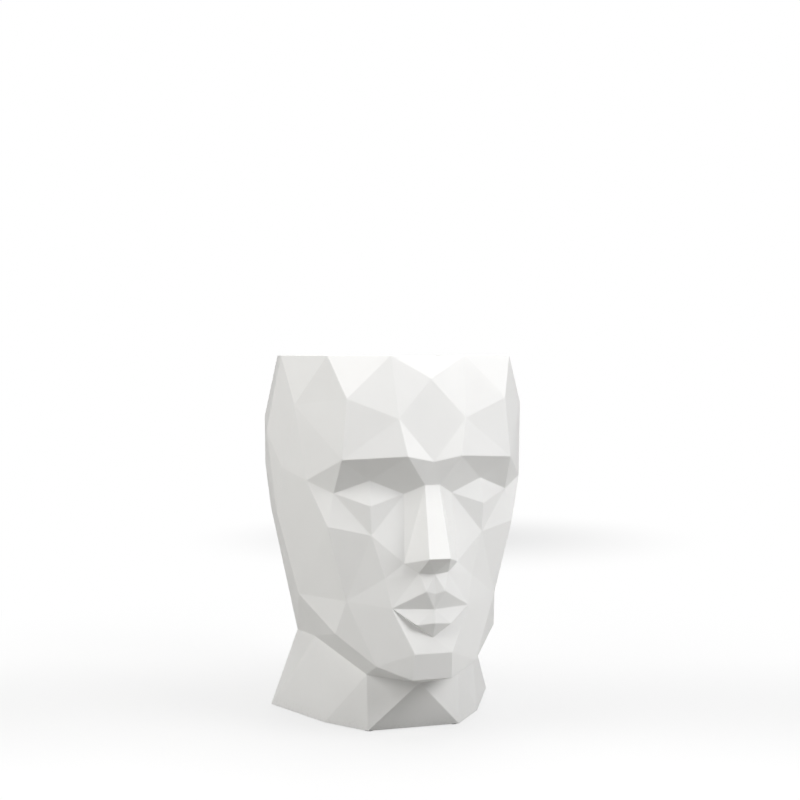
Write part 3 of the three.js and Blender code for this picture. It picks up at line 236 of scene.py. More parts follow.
# Pattern on the circuit boards: cells to the metre, then shares of a cell
TRACK_CELLS = 85
TRACK_SPACING = 0.13
TRACK_WIDTH = 0.045
DOT_CELLS = 200
DOT_SIZE = 0.06

# Dome and its ring
DOME_RADIUS = 60.01 * MM
DOME_WALL = 2.5 * MM
DOME_FLANGE = 2.5 * MM
DOME_STEPS = 20
RING_LIP = 2.2 * MM
RING_WALL = 3 * MM
RING_REACH = 61.61 * MM
RING_TOP_ROUND = 1.2 * MM
GRIP_COUNT = 36
GRIP_RADIUS = 2.6 * MM
GRIP_DEPTH = 0.8 * MM
GRIP_STOP = 2 * MM
GRIP_STEPS = 24

# Colours that lie over other finishes, the share of the rubbed edge, and how clear pieces bend light
DUST_COLOUR = (0.42, 0.39, 0.35)
SCUFF_COLOUR = (0.5, 0.48, 0.45)
SCUFF_SHARE = 0.22
TIN_COLOUR = (0.62, 0.6, 0.55)
ACRYLIC_IOR = 1.49


# Handling of pieces

def activate(piece):
    bpy.ops.object.select_all(action="DESELECT")
    piece.select_set(True)
    bpy.context.view_layer.objects.active = piece


def edit(piece, kind="EDGE"):
    """Edit mode on one piece, with nothing selected in it."""
    activate(piece)
    bpy.ops.object.mode_set(mode="EDIT")
    bpy.ops.mesh.select_mode(type=kind)
    bpy.ops.mesh.select_all(action="DESELECT")


def leave_edit():
    bpy.ops.object.mode_set(mode="OBJECT")


def face_out():
    """Turns all faces of the piece in edit mode outwards, and leaves edit mode."""
    bpy.ops.mesh.select_all(action="SELECT")
    bpy.ops.mesh.normals_make_consistent(inside=False)
    leave_edit()


def settle(piece, place=(0, 0, 0), turn=(0, 0, 0)):
    """Moves and turns a piece, and puts its place, turn and scale into its mesh."""
    piece.location = place
    piece.rotation_euler = turn
    activate(piece)
    bpy.ops.object.transform_apply(location=True, rotation=True, scale=True)


def merged_copy(node, name):
    """A solid's own mesh with its loose triangles joined and its flat faces made whole."""
    piece = bpy.data.objects.new(name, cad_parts[node].data.copy())
    bpy.context.scene.collection.objects.link(piece)
    activate(piece)
    bpy.ops.mesh.customdata_custom_splitnormals_clear()
    edit(piece)
    bpy.ops.mesh.select_all(action="SELECT")
    bpy.ops.mesh.remove_doubles(threshold=MERGE)
    bpy.ops.mesh.dissolve_limited(angle_limit=FLAT_ANGLE)
    leave_edit()
    return piece


def placed_copy(source, name, place):
    """A copy with a mesh of its own, moved by a vector."""
    made = source.copy()
    made.data = source.data.copy()
    made.name = name
    bpy.context.scene.collection.objects.link(made)
    settle(made, place)
    return made


def faces_by_edge(piece):
    found = {}
    for face in piece.data.polygons:
        for key in face.edge_keys:
            found.setdefault(key, []).append(face)
    return found


def sharp_edges(piece, angle=SHARP_ANGLE):
    """Keys of the edges whose two faces turn by more than an angle."""
    found = set()
    for key, faces in faces_by_edge(piece).items():
        if len(faces) == 2 and faces[0].normal.angle(faces[1].normal, 0) > angle:
            found.add(key)
    return found


def bevel_edges(piece, wanted, width, segments=3):
    """Rounds the edges whose key is in a set."""
    edit(piece)
    leave_edit()
    for edge in piece.data.edges:
        edge.select = edge.key in wanted
    bpy.ops.object.mode_set(mode="EDIT")
    bpy.ops.mesh.bevel(offset=width, offset_type="OFFSET", segments=segments, affect="EDGES",
                       clamp_overlap=False, miter_outer="SHARP")
    leave_edit()


def shade(piece, angle=SMOOTH_ANGLE):
    """Smooth shading on rounded edges, with broad faces kept flat."""
    activate(piece)
    bpy.ops.object.shade_smooth_by_angle(angle=angle)
    weighted = piece.modifiers.new("face_weighted", "WEIGHTED_NORMAL")
    weighted.weight = 100
    weighted.keep_sharp = True
    bpy.ops.object.modifier_apply(modifier=weighted.name)


# Shapes that many pieces start from

def seat(node):
    """A node's middle in plan, its half width, its lowest and its highest level."""
    low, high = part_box(node)
    middle = (low + high) / 2
    return middle.x, middle.y, (high.x - low.x) / 2, low.z, high.z


def softened(points):
    """Points of (radius, height, rounding), with small curves in place of the corners to round."""
    made = []
    for i, (radius, height, reach) in enumerate(points):
        corner = Vector((radius, height))
        if not reach:
            made.append(corner)
            continue
        before = Vector(points[i - 1][:2])
        after = Vector(points[(i + 1) % len(points)][:2])
        start = corner + (before - corner).normalized() * reach
        end = corner + (after - corner).normalized() * reach
        for step in range(CURVE_STEPS + 1):
            share = step / CURVE_STEPS
            made.append(start.lerp(corner, share).lerp(corner.lerp(end, share), share))
    return made


def drawn(name, points):
    """A line of points in the XZ plane, drawn vertex by vertex. Edit mode stays on, all selected."""
    bpy.ops.object.select_all(action="DESELECT")
    bpy.ops.mesh.primitive_plane_add(size=1)
    piece = bpy.context.active_object
    piece.name = name
    bpy.ops.object.mode_set(mode="EDIT")
    bpy.ops.mesh.select_mode(type="VERT")
    bpy.ops.mesh.select_all(action="SELECT")
    bpy.ops.mesh.merge(type="CENTER")
    bpy.ops.transform.translate(value=(points[0].x, 0, points[0].y))
    for here, there in zip(points, points[1:]):
        step = (there.x - here.x, 0, there.y - here.y)
        bpy.ops.mesh.extrude_region_move(TRANSFORM_OT_translate={"value": step})
    bpy.ops.mesh.select_all(action="SELECT")
    return piece


def turned(name, points, x=0, y=0, steps=SMALL_STEPS):
    """A profile of (radius, height, rounding) points, spun round an upright axis."""
    piece = drawn(name, softened(points))
    bpy.ops.mesh.spin(steps=steps, angle=tau, center=(0, 0, 0), axis=(0, 0, 1))
    bpy.ops.mesh.select_all(action="SELECT")
    bpy.ops.mesh.remove_doubles(threshold=MERGE)
    face_out()
    settle(piece, (x, y, 0))
    return piece


def disc(name, radius, bottom, top, edge, x=0, y=0, steps=SMALL_STEPS):
    """A round plate or bar with rounded edges."""
    profile = [(0, bottom, 0), (radius, bottom, edge), (radius, top, edge), (0, top, 0)]
    return turned(name, profile, x, y, steps)


def rod(radius, bottom, top, x=0, y=0, steps=SMALL_STEPS):
    return disc("rod", radius, bottom, top, 0, x, y, steps)


def bar_along_x(radius, x0, x1, y, z, steps=SMALL_STEPS):
    bar = rod(radius, x0, x1, steps=steps)
    settle(bar, (0, y, z), ALONG_X)
    return bar


def block(low, high):
    """A box between two corners."""
    bpy.ops.object.select_all(action="DESELECT")
    bpy.ops.mesh.primitive_cube_add(size=1)
    piece = bpy.context.active_object
    piece.scale = Vector(high) - Vector(low)
    settle(piece, (Vector(high) + Vector(low)) / 2)
    return piece


def oval_bar(width, deep, bottom, top, x=0, y=0):
    """An upright bar with round ends, lying along X: a round bar whose halves are drawn apart."""
    piece = rod(deep / 2, bottom, top)
    reach = width / 2 - deep / 2
    for side in (-1, 1):
        edit(piece, "VERT")
        leave_edit()
        for vertex in piece.data.vertices:
            vertex.select = vertex.co.x * side > MERGE
        bpy.ops.object.mode_set(mode="EDIT")
        bpy.ops.transform.translate(value=(side * reach, 0, 0))
        leave_edit()
    settle(piece, (x, y, 0))
    return piece


def joined(tools):
    """Several pieces that don't touch, as one."""
    activate(tools[0])
    for tool in tools:
        tool.select_set(True)
    bpy.ops.object.join()
    return bpy.context.active_object


def combine(piece, tools, operation):
    """Cuts tools out of a piece, or joins them to it."""
    tool = joined(tools)
    activate(piece)
    step = piece.modifiers.new("combine", "BOOLEAN")
    step.operation = operation
    step.solver = "EXACT"
    step.object = tool
    bpy.ops.object.modifier_apply(modifier=step.name)
    bpy.data.objects.remove(tool)


def cut(piece, *tools):
    combine(piece, tools, "DIFFERENCE")


def weld(piece, *tools):
    combine(piece, tools, "UNION")


# Helpers and effects that several finishes share

def node(tree, kind, inputs=None, **settings):
    """A shader node with its settings, and its inputs as values or as sockets to link from."""
    made = tree.nodes.new("ShaderNode" + kind)
    for name, value in settings.items():
        setattr(made, name, value)
    for name, value in (inputs or {}).items():
        if isinstance(value, bpy.types.NodeSocket):
            tree.links.new(value, made.inputs[name])
        else:
            made.inputs[name].default_value = value
    return made


def noise(tree, place, scale, detail):
    return node(tree, "TexNoise", {"Vector": place, "Scale": scale, "Detail": detail}).outputs["Fac"]


def facing(tree, axis, kind="True Normal"):
    """How far a face looks along an axis, from -1 to 1."""
    return node(tree, "SeparateXYZ", {"Vector": node(tree, "NewGeometry").outputs[kind]}).outputs[axis]


def rising(tree, value, low, high):
    """0 where a value is below one limit, rising to 1 at another."""
    return node(tree, "MapRange", {"Value": value, "From Min": low, "From Max": high}).outputs["Result"]


def falling(tree, value, low, high):
    """1 where a value is below one limit, falling to 0 at another."""
    limits = {"Value": value, "From Min": low, "From Max": high, "To Min": 1.0, "To Max": 0.0}
    return node(tree, "MapRange", limits).outputs["Result"]


def scaled(tree, mask, share):
    return node(tree, "Math", {0: mask, 1: share}, operation="MULTIPLY").outputs["Value"]


def effect(name, inputs):
    """An empty node group with number inputs, these inputs, and the place on the piece."""
    tree = bpy.data.node_groups.new(name, "ShaderNodeTree")
    for label, value in inputs.items():
        socket = tree.interface.new_socket(label, in_out="INPUT", socket_type="NodeSocketFloat")
        socket.default_value = value
    return tree, tree.nodes.new("NodeGroupInput").outputs, node(tree, "TexCoord").outputs["Object"]


def ended(tree, **results):
    """The node group with its named outputs."""
    for label in results:
        tree.interface.new_socket(label, in_out="OUTPUT", socket_type="NodeSocketFloat")
    end = tree.nodes.new("NodeGroupOutput")
    for label, value in results.items():
        tree.links.new(value, end.inputs[label])
    return tree


def moulded_grain():
    """Fine pits of a mould's skin, and a slow drift of tone over the whole piece."""
    tree, given, place = effect("moulded_grain", {"Grain": 900.0, "Drift": 9.0})
    pits = noise(tree, place, given["Grain"], 3.0)
    drift = noise(tree, place, given["Drift"], 2.0)
    return ended(tree, Height=pits, Tone=rising(tree, drift, 0.3, 0.7))


def settled_dust():
    """Dust that lies on faces which look up, in uneven patches."""
    tree, given, place = effect("settled_dust", {"Patch": 22.0})
    upward = rising(tree, facing(tree, "Z", "Normal"), 0.5, 1.0)
    return ended(tree, Mask=scaled(tree, upward, noise(tree, place, given["Patch"], 5.0)))


def floor_scuffs():
    """Rubbed marks that fade out upwards from the ground."""
    tree, given, place = effect("floor_scuffs", {"Reach": 0.02, "Patch": 260.0})
    level = node(tree, "SeparateXYZ", {"Vector": place}).outputs["Z"]
    spots = rising(tree, noise(tree, place, given["Patch"], 6.0), 0.5, 0.72)
    return ended(tree, Mask=scaled(tree, falling(tree, level, 0.0, given["Reach"]), spots))


def drawn_lines():
    """Fine lines along one direction, as on drawn wire and rolled sheet."""
    tree, given, place = effect("drawn_lines", {"Lines": 2500.0})
    stretched = node(tree, "Mapping", {"Vector": place, "Scale": (1.0, 0.04, 1.0)}).outputs["Vector"]
    lines = noise(tree, stretched, given["Lines"], 2.0)
    return ended(tree, Height=lines, Tone=noise(tree, place, 140.0, 4.0))


GRAIN = moulded_grain()
DUST = settled_dust()
SCUFFS = floor_scuffs()
LINES = drawn_lines()


# Finishes

def blank_finish(name, metallic=0.0):
    made = bpy.data.materials.new(name)
    made.use_nodes = True
    shader = made.node_tree.nodes["Principled BSDF"]
    shader.inputs["Metallic"].default_value = metallic
    return made, made.node_tree, shader


def blended(tree, share, first, second):
    """One colour changing to another by a mask."""
    mix = node(tree, "Mix", data_type="RGBA")
    tree.links.new(share, mix.inputs["Factor"])
    for label, colour in (("A", first), ("B", second)):
        if isinstance(colour, bpy.types.NodeSocket):
            tree.links.new(colour, mix.inputs[label])
        else:
            mix.inputs[label].default_value = (*colour, 1)
    return mix.outputs["Result"]


def ranged(tree, value, low, high):
    """A value from 0 to 1 spread between two others."""
    return node(tree, "MapRange", {"Value": value, "To Min": low, "To Max": high}).outputs["Result"]


def bumped(tree, shader, height, distance, strength=0.5):
    bump = node(tree, "Bump", {"Height": height, "Distance": distance, "Strength": strength})
    tree.links.new(bump.outputs["Normal"], shader.inputs["Normal"])


def grouped(tree, effect_tree, **values):
    made = tree.nodes.new("ShaderNodeGroup")
    made.node_tree = effect_tree
    for label, value in values.items():
        made.inputs[label].default_value = value
    return made


def darker(colour, share):
    return tuple(channel * share for channel in colour)


def skinned(name, skin_effect, values, colours, rough, depth, strength=0.5, metallic=0.0):
    """A finish whose tone, roughness and relief come from one shared effect."""
    made, tree, shader = blank_finish(name, metallic)
    skin = grouped(tree, skin_effect, **values)
    tree.links.new(blended(tree, skin.outputs["Tone"], *colours), shader.inputs["Base Color"])
    tree.links.new(ranged(tree, skin.outputs["Tone"], *rough), shader.inputs["Roughness"])
    if depth:
        bumped(tree, shader, skin.outputs["Height"], depth, strength)
    return made, tree, shader


def overlaid(tree, shader, mask, colour, outside=False):
    """Lays another colour over a finish's own, where a mask is 1 or, outside it, where it is 0."""
    own = shader.inputs["Base Color"].links[0].from_socket
    pair = (colour, own) if outside else (own, colour)
    tree.links.new(blended(tree, mask, *pair), shader.inputs["Base Color"])


def moulded_plastic(name, colour, roughness, grain=900.0, depth=0.05 * MM, drift=0.96, dust=0.0):
    """Moulded plastic: mould grain, a drift of tone, and dust where it looks up."""
    colours = (colour, darker(colour, drift))
    rough = (roughness - 0.04, roughness + 0.06)
    made, tree, shader = skinned(name, GRAIN, {"Grain": grain}, colours, rough, depth)
    if dust:
        lying = grouped(tree, DUST)
        overlaid(tree, shader, scaled(tree, lying.outputs["Mask"], dust), DUST_COLOUR)
    return made


def shell_white():
    """White moulded shell: satin, slightly warm, rubbed along the edge that stands on the ground."""
    made = moulded_plastic("shell_white", (0.873, 0.872, 0.867), 0.5, 1300.0, 0.12 * MM, drift=0.975)
    tree = made.node_tree
    rubbed = grouped(tree, SCUFFS)
    share = scaled(tree, rubbed.outputs["Mask"], SCUFF_SHARE)
    overlaid(tree, tree.nodes["Principled BSDF"], share, SCUFF_COLOUR)
    return made


def frosted():
    """Frosted cover: milky, lets some light through."""
    made = moulded_plastic("frosted", (0.93, 0.92, 0.885), 0.62, 2600.0, 0.04 * MM, drift=0.98, dust=0.12)
    shader = made.node_tree.nodes["Principled BSDF"]
    shader.inputs["Transmission Weight"].default_value = 0.35
    shader.inputs["IOR"].default_value = ACRYLIC_IOR
    return made


def rubber(name, colour, bloom):
    """Matt rubber with a fine grit and a greyish bloom."""
    made, _, shader = skinned(name, GRAIN, {"Grain": 3200.0, "Drift": 420.0}, (colour, bloom),
                              (0.72, 0.9), 0.05 * MM, 0.6)
    shader.inputs["Specular IOR Level"].default_value = 0.3
    return made


def metal(name, colour, low, high, lines=2500.0, depth=0.02 * MM):
    """Plated, turned or blasted metal, with stains in its roughness and its tone."""
    colours = (darker(colour, 0.85), colour)
    return skinned(name, LINES, {"Lines": lines}, colours, (low, high), depth, metallic=1.0)[0]


def circuit_board(name, mask, track):
    """Solder mask over copper tracks, which show as paler, raised lines that turn square corners."""
    made, tree, shader = skinned(name, GRAIN, {"Grain": 1800.0, "Drift": 40.0}, (mask, darker(mask, 0.88)),
                                 (0.35, 0.5), 0)
    place = node(tree, "TexCoord").outputs["Object"]
    rings = node(tree, "TexVoronoi", {"Vector": place, "Scale": TRACK_CELLS}, distance="CHEBYCHEV",
                 voronoi_dimensions="2D")
    apart = node(tree, "Math", {0: rings.outputs["Distance"], 1: TRACK_SPACING / 2}, operation="PINGPONG")
    lines = falling(tree, apart.outputs["Value"], TRACK_WIDTH / 2, TRACK_WIDTH * 0.7)
    overlaid(tree, shader, lines, track)
    bumped(tree, shader, lines, 0.04 * MM)
    return made


def board_green():
    """The control board's finish: green mask, with tinned dots where tracks pass through the board."""
    made = circuit_board("board_green", (0.02, 0.13, 0.06), (0.05, 0.22, 0.1))
    tree = made.node_tree
    shader = tree.nodes["Principled BSDF"]
    place = node(tree, "TexCoord").outputs["Object"]
    spots = node(tree, "TexVoronoi", {"Vector": place, "Scale": DOT_CELLS, "Randomness": 0.8},
                 voronoi_dimensions="2D")
    dots = falling(tree, spots.outputs["Distance"], DOT_SIZE, DOT_SIZE * 1.2)
    overlaid(tree, shader, dots, TIN_COLOUR)
    tree.links.new(dots, shader.inputs["Metallic"])
    return made


def cell_wrap():
    """Blue shrink wrap with faint creases, and bare plated ends."""
    wrap = ((0.05, 0.17, 0.38), (0.07, 0.21, 0.44))
    made, tree, shader = skinned("cell_wrap", GRAIN, {"Grain": 500.0, "Drift": 60.0}, wrap, (0.26, 0.4),
                                 0.06 * MM, 0.3)
    lengthwise = node(tree, "Math", {0: facing(tree, "Y")}, operation="ABSOLUTE").outputs["Value"]
    bare = rising(tree, lengthwise, 0.9, 0.95)
    overlaid(tree, shader, bare, (0.6, 0.6, 0.58))
    tree.links.new(bare, shader.inputs["Metallic"])
    return made


def lens_yellow():
    """Phosphor-filled silicone on a white body: the body shows on upright and level faces."""
    phosphor = ((0.82, 0.62, 0.16), (0.74, 0.55, 0.13))
    made, tree, shader = skinned("led_lens", GRAIN, {"Grain": 4000.0, "Drift": 700.0}, phosphor, (0.2, 0.32),
                                 0.01 * MM)
    upward = facing(tree, "Z")
    leaning = {0: rising(tree, upward, 0.15, 0.2), 1: rising(tree, upward, 0.9995, 0.9999)}
    lens = node(tree, "Math", leaning, operation="SUBTRACT", use_clamp=True)
    overlaid(tree, shader, lens.outputs["Value"], (0.82, 0.81, 0.77), outside=True)
    return made


def clear_acrylic():
    """Polished clear rod with a faint tint and fine scratches."""
    tints = ((0.86, 0.9, 0.91), (0.8, 0.85, 0.87))
    made, _, shader = skinned("clear", GRAIN, {"Grain": 2400.0, "Drift": 300.0}, tints, (0.08, 0.2),
                              0.01 * MM, 0.3)
    shader.inputs["Transmission Weight"].default_value = 0.9
    shader.inputs["IOR"].default_value = ACRYLIC_IOR
    return made


FINISHES = {
    "shell_white": shell_white(),
    "liner_grey": moulded_plastic("liner_grey", (0.66, 0.655, 0.635), 0.6, 650.0, 0.25 * MM, 0.93, 0.25),
    "lamp_white": moulded_plastic("lamp_white", (0.78, 0.775, 0.755), 0.5, 1500.0, dust=0.15),
    "frosted": frosted(),
    "seal_grey": rubber("seal_grey", (0.17, 0.175, 0.18), (0.2, 0.205, 0.21)),
    "rubber_black": rubber("rubber_black", (0.026, 0.026, 0.027), (0.046, 0.046, 0.046)),
    "steel": metal("steel", (0.62, 0.63, 0.64), 0.22, 0.42),
    "brass": metal("brass", (0.62, 0.42, 0.15), 0.25, 0.45),
    "aluminium": metal("aluminium", (0.66, 0.67, 0.68), 0.35, 0.5, lines=1400.0, depth=0.04 * MM),
    "board_green": board_green(),
    "board_white": circuit_board("board_white", (0.82, 0.82, 0.8), (0.74, 0.74, 0.72)),
    "switch_black": moulded_plastic("switch_black", (0.035, 0.036, 0.038), 0.55, 2200.0, drift=1.5),
    "cell_wrap": cell_wrap(),
    "led_lens": lens_yellow(),
    "clear": clear_acrylic(),
    "lead_red": moulded_plastic("lead_red", (0.42, 0.025, 0.02), 0.42, 2000.0, 0.02 * MM, drift=0.85),
    "lead_black": moulded_plastic("lead_black", (0.02, 0.02, 0.021), 0.42, 2000.0, 0.02 * MM, drift=1.4),
}


def finish(piece, body, slot, *nodes):
    """Shades a finished piece, gives it its material and ties it to its body and its solids."""
    shade(piece)
    piece.data.materials.clear()
    piece.data.materials.append(FINISHES[slot])
    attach(piece, body)
    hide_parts(*nodes)


# Shell and liner

def outer_skin(piece):
    """Faces reached from the foremost one without crossing the rim's or the base's level faces."""
    by_edge = faces_by_edge(piece)
    start = min(piece.data.polygons, key=lambda face: face.center.y)
    found, waiting = {start.index}, [start]
    while waiting:
        for key in waiting.pop().edge_keys:
            for other in by_edge[key]:
                if other.index not in found and abs(other.normal.z) < LEVEL:
                    found.add(other.index)
                    waiting.append(other)
    return found


def head_shell():
    """The faceted head: every facet edge softly rounded, as a mould leaves it."""
    shell = merged_copy("head_shell", "head_shell_moulding")
    skin = outer_skin(shell)
    facet_edges = set()
    for key, faces in faces_by_edge(shell).items():
        if any(face.index in skin for face in faces):
            facet_edges.add(key)
    bevel_edges(shell, facet_edges, FACET_EDGE)
    finish(shell, "pot", "shell_white", "head_shell")


def planting_liner():
    """The tub: rounded corners up its walls and round its floor, broken edges on flange, ribs and drain."""
    liner = merged_copy("planting_liner", "planting_liner_tub")
    corners = set()
    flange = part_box("planting_liner")[1].z - LINER_FLANGE
    for key, faces in faces_by_edge(liner).items():
        start, end = (liner.data.vertices[i].co for i in key)
        upright = abs(start.z - end.z) > (start - end).length * UPRIGHT_SHARE
        tilts = sorted(abs(face.normal.z) for face in faces)
        floor_and_wall = SLOPING < tilts[0] < STEEP and tilts[1] > NEARLY_LEVEL
        along_floor = floor_and_wall and max(start.z, end.z) < flange - BEYOND
        between_walls = tilts[1] < STEEP and faces[0].normal.angle(faces[1].normal) > LINER_WALL_TURN
        outer = (start - end).length > LINER_RIB_RISE + BEYOND
        if upright and between_walls and outer or along_floor:
            corners.add(key)
    bevel_edges(liner, corners, LINER_CORNER, segments=4)
    bevel_edges(liner, sharp_edges(liner), LINER_EDGE, segments=2)
    finish(liner, "liner", "liner_grey", "planting_liner")


def drain_plug():
    """Rubber plug: tapered stem, rounded head and a waisted knob."""
    x, y, radius, tip, top = seat("drain_plug")
    floor = tip + PLUG_FLOOR_RISE
    head = tip + PLUG_HEAD_RISE
    knob = head + PLUG_NECK_RISE
    plug = turned("drain_plug_rubber", [
        (0, tip, 0),
        (PLUG_STEM, tip, PLUG_TIP_ROUND),
        (PLUG_STEM, floor, 0),
        (radius, floor, 0),
        (radius, head, PLUG_HEAD_ROUND),
        (PLUG_NECK, head, PLUG_NECK_ROUND),
        (PLUG_NECK, knob, PLUG_KNOB_SLOPE),
        (PLUG_KNOB, knob + PLUG_KNOB_SLOPE, ROUND_BROAD),
        (PLUG_KNOB, top, PLUG_KNOB_ROUND),
        (0, top, 0),
    ], x, y, MIDDLE_STEPS)
    finish(plug, "plug", "rubber_black", "drain_plug")


def feet():
    """Soft tapered feet: a ring that meets the ground round a shallow hollow."""
    for i in range(4):
        x, y, radius, bottom, top = seat(f"foot_{i + 1}")
        tread = radius * FOOT_TAPER
        hollow = radius * FOOT_GROOVE_REACH
        foot = turned(f"foot_rubber_{i + 1}", [
            (0, bottom + FOOT_GROOVE, 0),
            (hollow, bottom + FOOT_GROOVE, ROUND_SMALL),
            (hollow + FOOT_GROOVE, bottom, ROUND_FINE),
            (tread - FOOT_EDGE / 2, bottom, ROUND_SMALL),
            (tread, bottom + FOOT_EDGE / 2, ROUND_SMALL),
            (radius, top - FOOT_EDGE / 2, ROUND_SMALL),
            (radius, top, ROUND_SMALL),
            (0, top, 0),
        ], x, y, MIDDLE_STEPS)
        finish(foot, "pot", "rubber_black", f"foot_{i + 1}")


# Lamp housing

def screw_holes(kind, radius, bottom, top):
    """Rods to cut holes with, one for each of the four screws of a kind."""
    return [rod(radius, bottom - BEYOND, top + BEYOND, *seat(f"{kind}_{i + 1}")[:2]) for i in range(4)]


def lamp_base():
    """Cup on a broad plate: bored posts, holes for screws, button, light and socket, lugs for the cap."""
    x, y, reach, _, cup_top = seat("lamp_base")
    cup = seat("dome_seal")[2]
    plate_bottom = seat("light_pipe")[3]
    plate_top = seat("base_gasket")[3]
    pipe_hole = PIPE_RADIUS + FIT
    groove_top = plate_bottom + PLATE_GROOVE
    base = turned("lamp_base_moulding", [
        (pipe_hole, plate_bottom, 0),
        (cup - PLATE_GROOVE_WIDTH, plate_bottom, ROUND_FINE),
        (cup - PLATE_GROOVE_WIDTH, groove_top, ROUND_FINE),
        (cup, groove_top, ROUND_FINE),
        (cup, plate_bottom, ROUND_FINE),
        (reach, plate_bottom, PLATE_EDGE),
        (reach, plate_top, ROUND_SOFT),
        (cup, plate_top, CUP_FILLET),
        (cup, cup_top, ROUND_SMALL),
        (cup - CUP_WALL, cup_top, ROUND_SMALL),
        (cup - CUP_WALL, plate_top, CUP_FILLET),
        (pipe_hole, plate_top, 0),
        (pipe_hole, plate_bottom, 0),
    ], x, y, LARGE_STEPS)
    below, above = plate_bottom - BEYOND, plate_top + BEYOND
    holes = screw_holes("base_screw", FIXING_HOLE, plate_bottom, plate_top)
    holes.append(rod(BUTTON_RADIUS + FIT, below, above, *seat("power_button")[:2], MIDDLE_STEPS))
    low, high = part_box("charge_socket")
    wide, deep = high.x - low.x + 2 * SOCKET_ROOM, high.y - low.y + 2 * SOCKET_ROOM
    holes.append(oval_bar(wide, deep, below, above, x, (low.y + high.y) / 2))
    cut(base, *holes)

    def post(place, radius, top):
        return turned("post", [
            (0, plate_top - BEYOND, 0),
            (radius, plate_top - BEYOND, 0),
            (radius, top, ROUND_SMALL),
            (SMALL_HOLE, top, 0),
            (SMALL_HOLE, top - SMALL_HOLE_DEPTH, 0),
            (0, top - SMALL_HOLE_DEPTH, 0),
        ], *place)

    board_top, tray_top = seat("control_board")[3], seat("battery_tray")[3]
    sink_top = seat("heat_sink")[3] + FIN_DROP
    posts = [post(seat(f"board_screw_{i + 1}")[:2], BOARD_POST, board_top) for i in range(4)]
    posts += [post(seat(f"sink_screw_{i + 1}")[:2], SINK_POST, sink_top) for i in range(4)]
    posts += [post(seat(f"strap_screw_{i + 1}")[:2], TRAY_POST, tray_top) for i in range(2)]
    posts += [post((x, y + side * END_POST_PLACE), TRAY_POST, tray_top) for side in (-1, 1)]
    weld(base, *posts)
    pin_low, pin_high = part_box("cap_pin")
    hinge = (pin_low + pin_high) / 2
    lug_bottom, lug_top = hinge.z - HINGE_BARREL, plate_top - BEYOND
    lugs = []
    for side in (-1, 1):
        ends = sorted((side * pin_high.x, side * (pin_high.x - LUG_WIDTH)))
        lug = oval_bar(lug_top - lug_bottom, 2 * HINGE_BARREL, *ends)
        settle(lug, (0, hinge.y, (lug_bottom + lug_top) / 2), ALONG_X)
        lugs.append(lug)
    weld(base, *lugs)
    cut(base, bar_along_x(HINGE_BORE, pin_low.x - BEYOND, pin_high.x + BEYOND, hinge.y, hinge.z))
    finish(base, "pot", "lamp_white", "lamp_base")


def flat_ring(name, x, y, inner, reach, bottom, top, edge):
    """A flat ring with all its edges rounded."""
    middle = (bottom + top) / 2
    return turned(name, [
        (inner, middle, 0),
        (inner, bottom, edge),
        (reach, bottom, edge),
        (reach, top, edge),
        (inner, top, edge),
        (inner, middle, 0),
    ], x, y, LARGE_STEPS)


def base_gasket():
    """Flat foam ring with a hole for each fixing screw."""
    x, y, reach, bottom, top = seat("base_gasket")
    inner = seat("dome_ring")[2] + GASKET_GAP
    ring = flat_ring("base_gasket_foam", x, y, inner, reach, bottom, top, ROUND_SMALL)
    cut(ring, *screw_holes("base_screw", FIXING_HOLE, bottom, top))
    finish(ring, "pot", "seal_grey", "base_gasket")


def thread(shank, bottom, top, pitch):
    """A ridge that climbs a shank: a three-sided section swept round and up, with its ends closed."""
    root = shank - THREAD_RISE
    crest = shank + THREAD_RISE
    ridge = drawn("thread", softened([
        (root, bottom, 0),
        (crest, bottom + pitch * THREAD_CREST, 0),
        (root, bottom + pitch * THREAD_FOOT, 0),
        (root, bottom, 0),
    ]))
    bpy.ops.mesh.remove_doubles(threshold=MERGE)
    leave_edit()
    sweep = ridge.modifiers.new("sweep", "SCREW")
    sweep.screw_offset = pitch
    sweep.iterations = int((top - bottom) / pitch) - 1
    sweep.steps = THREAD_STEPS
    sweep.render_steps = THREAD_STEPS
    bpy.ops.object.modifier_apply(modifier=sweep.name)
    edit(ridge)
    bpy.ops.mesh.select_all(action="SELECT")
    bpy.ops.mesh.fill_holes(sides=3)
    face_out()
    return ridge


def pan_screw(name, head, rise, shank, length, pitch):
    """Pan head screw with a thread and a cross drive, its head's seat at height 0 and its head above."""
    screw = turned(name, [
        (0, -length, 0),
        (shank * TIP_WIDTH, -length, 0),
        (shank, -length + shank * TIP_RISE, 0),
        (shank, 0, 0),
        (head, 0, 0),
        (head, rise * HEAD_SIDE, rise * HEAD_SIDE_ROUND),
        (head * HEAD_CROWN, rise, rise * HEAD_CROWN_ROUND),
        (0, rise, 0),
    ])
    weld(screw, thread(shank, -length + shank, 0, pitch))
    half, reach = head * DRIVE_WIDTH / 2, head * DRIVE_REACH / 2
    floor = rise * (1 - DRIVE_DEPTH)
    cut(screw, block((-reach, -half, floor), (reach, half, rise + BEYOND)))
    cut(screw, block((-half, -reach, floor), (half, reach, rise + BEYOND)))
    return screw


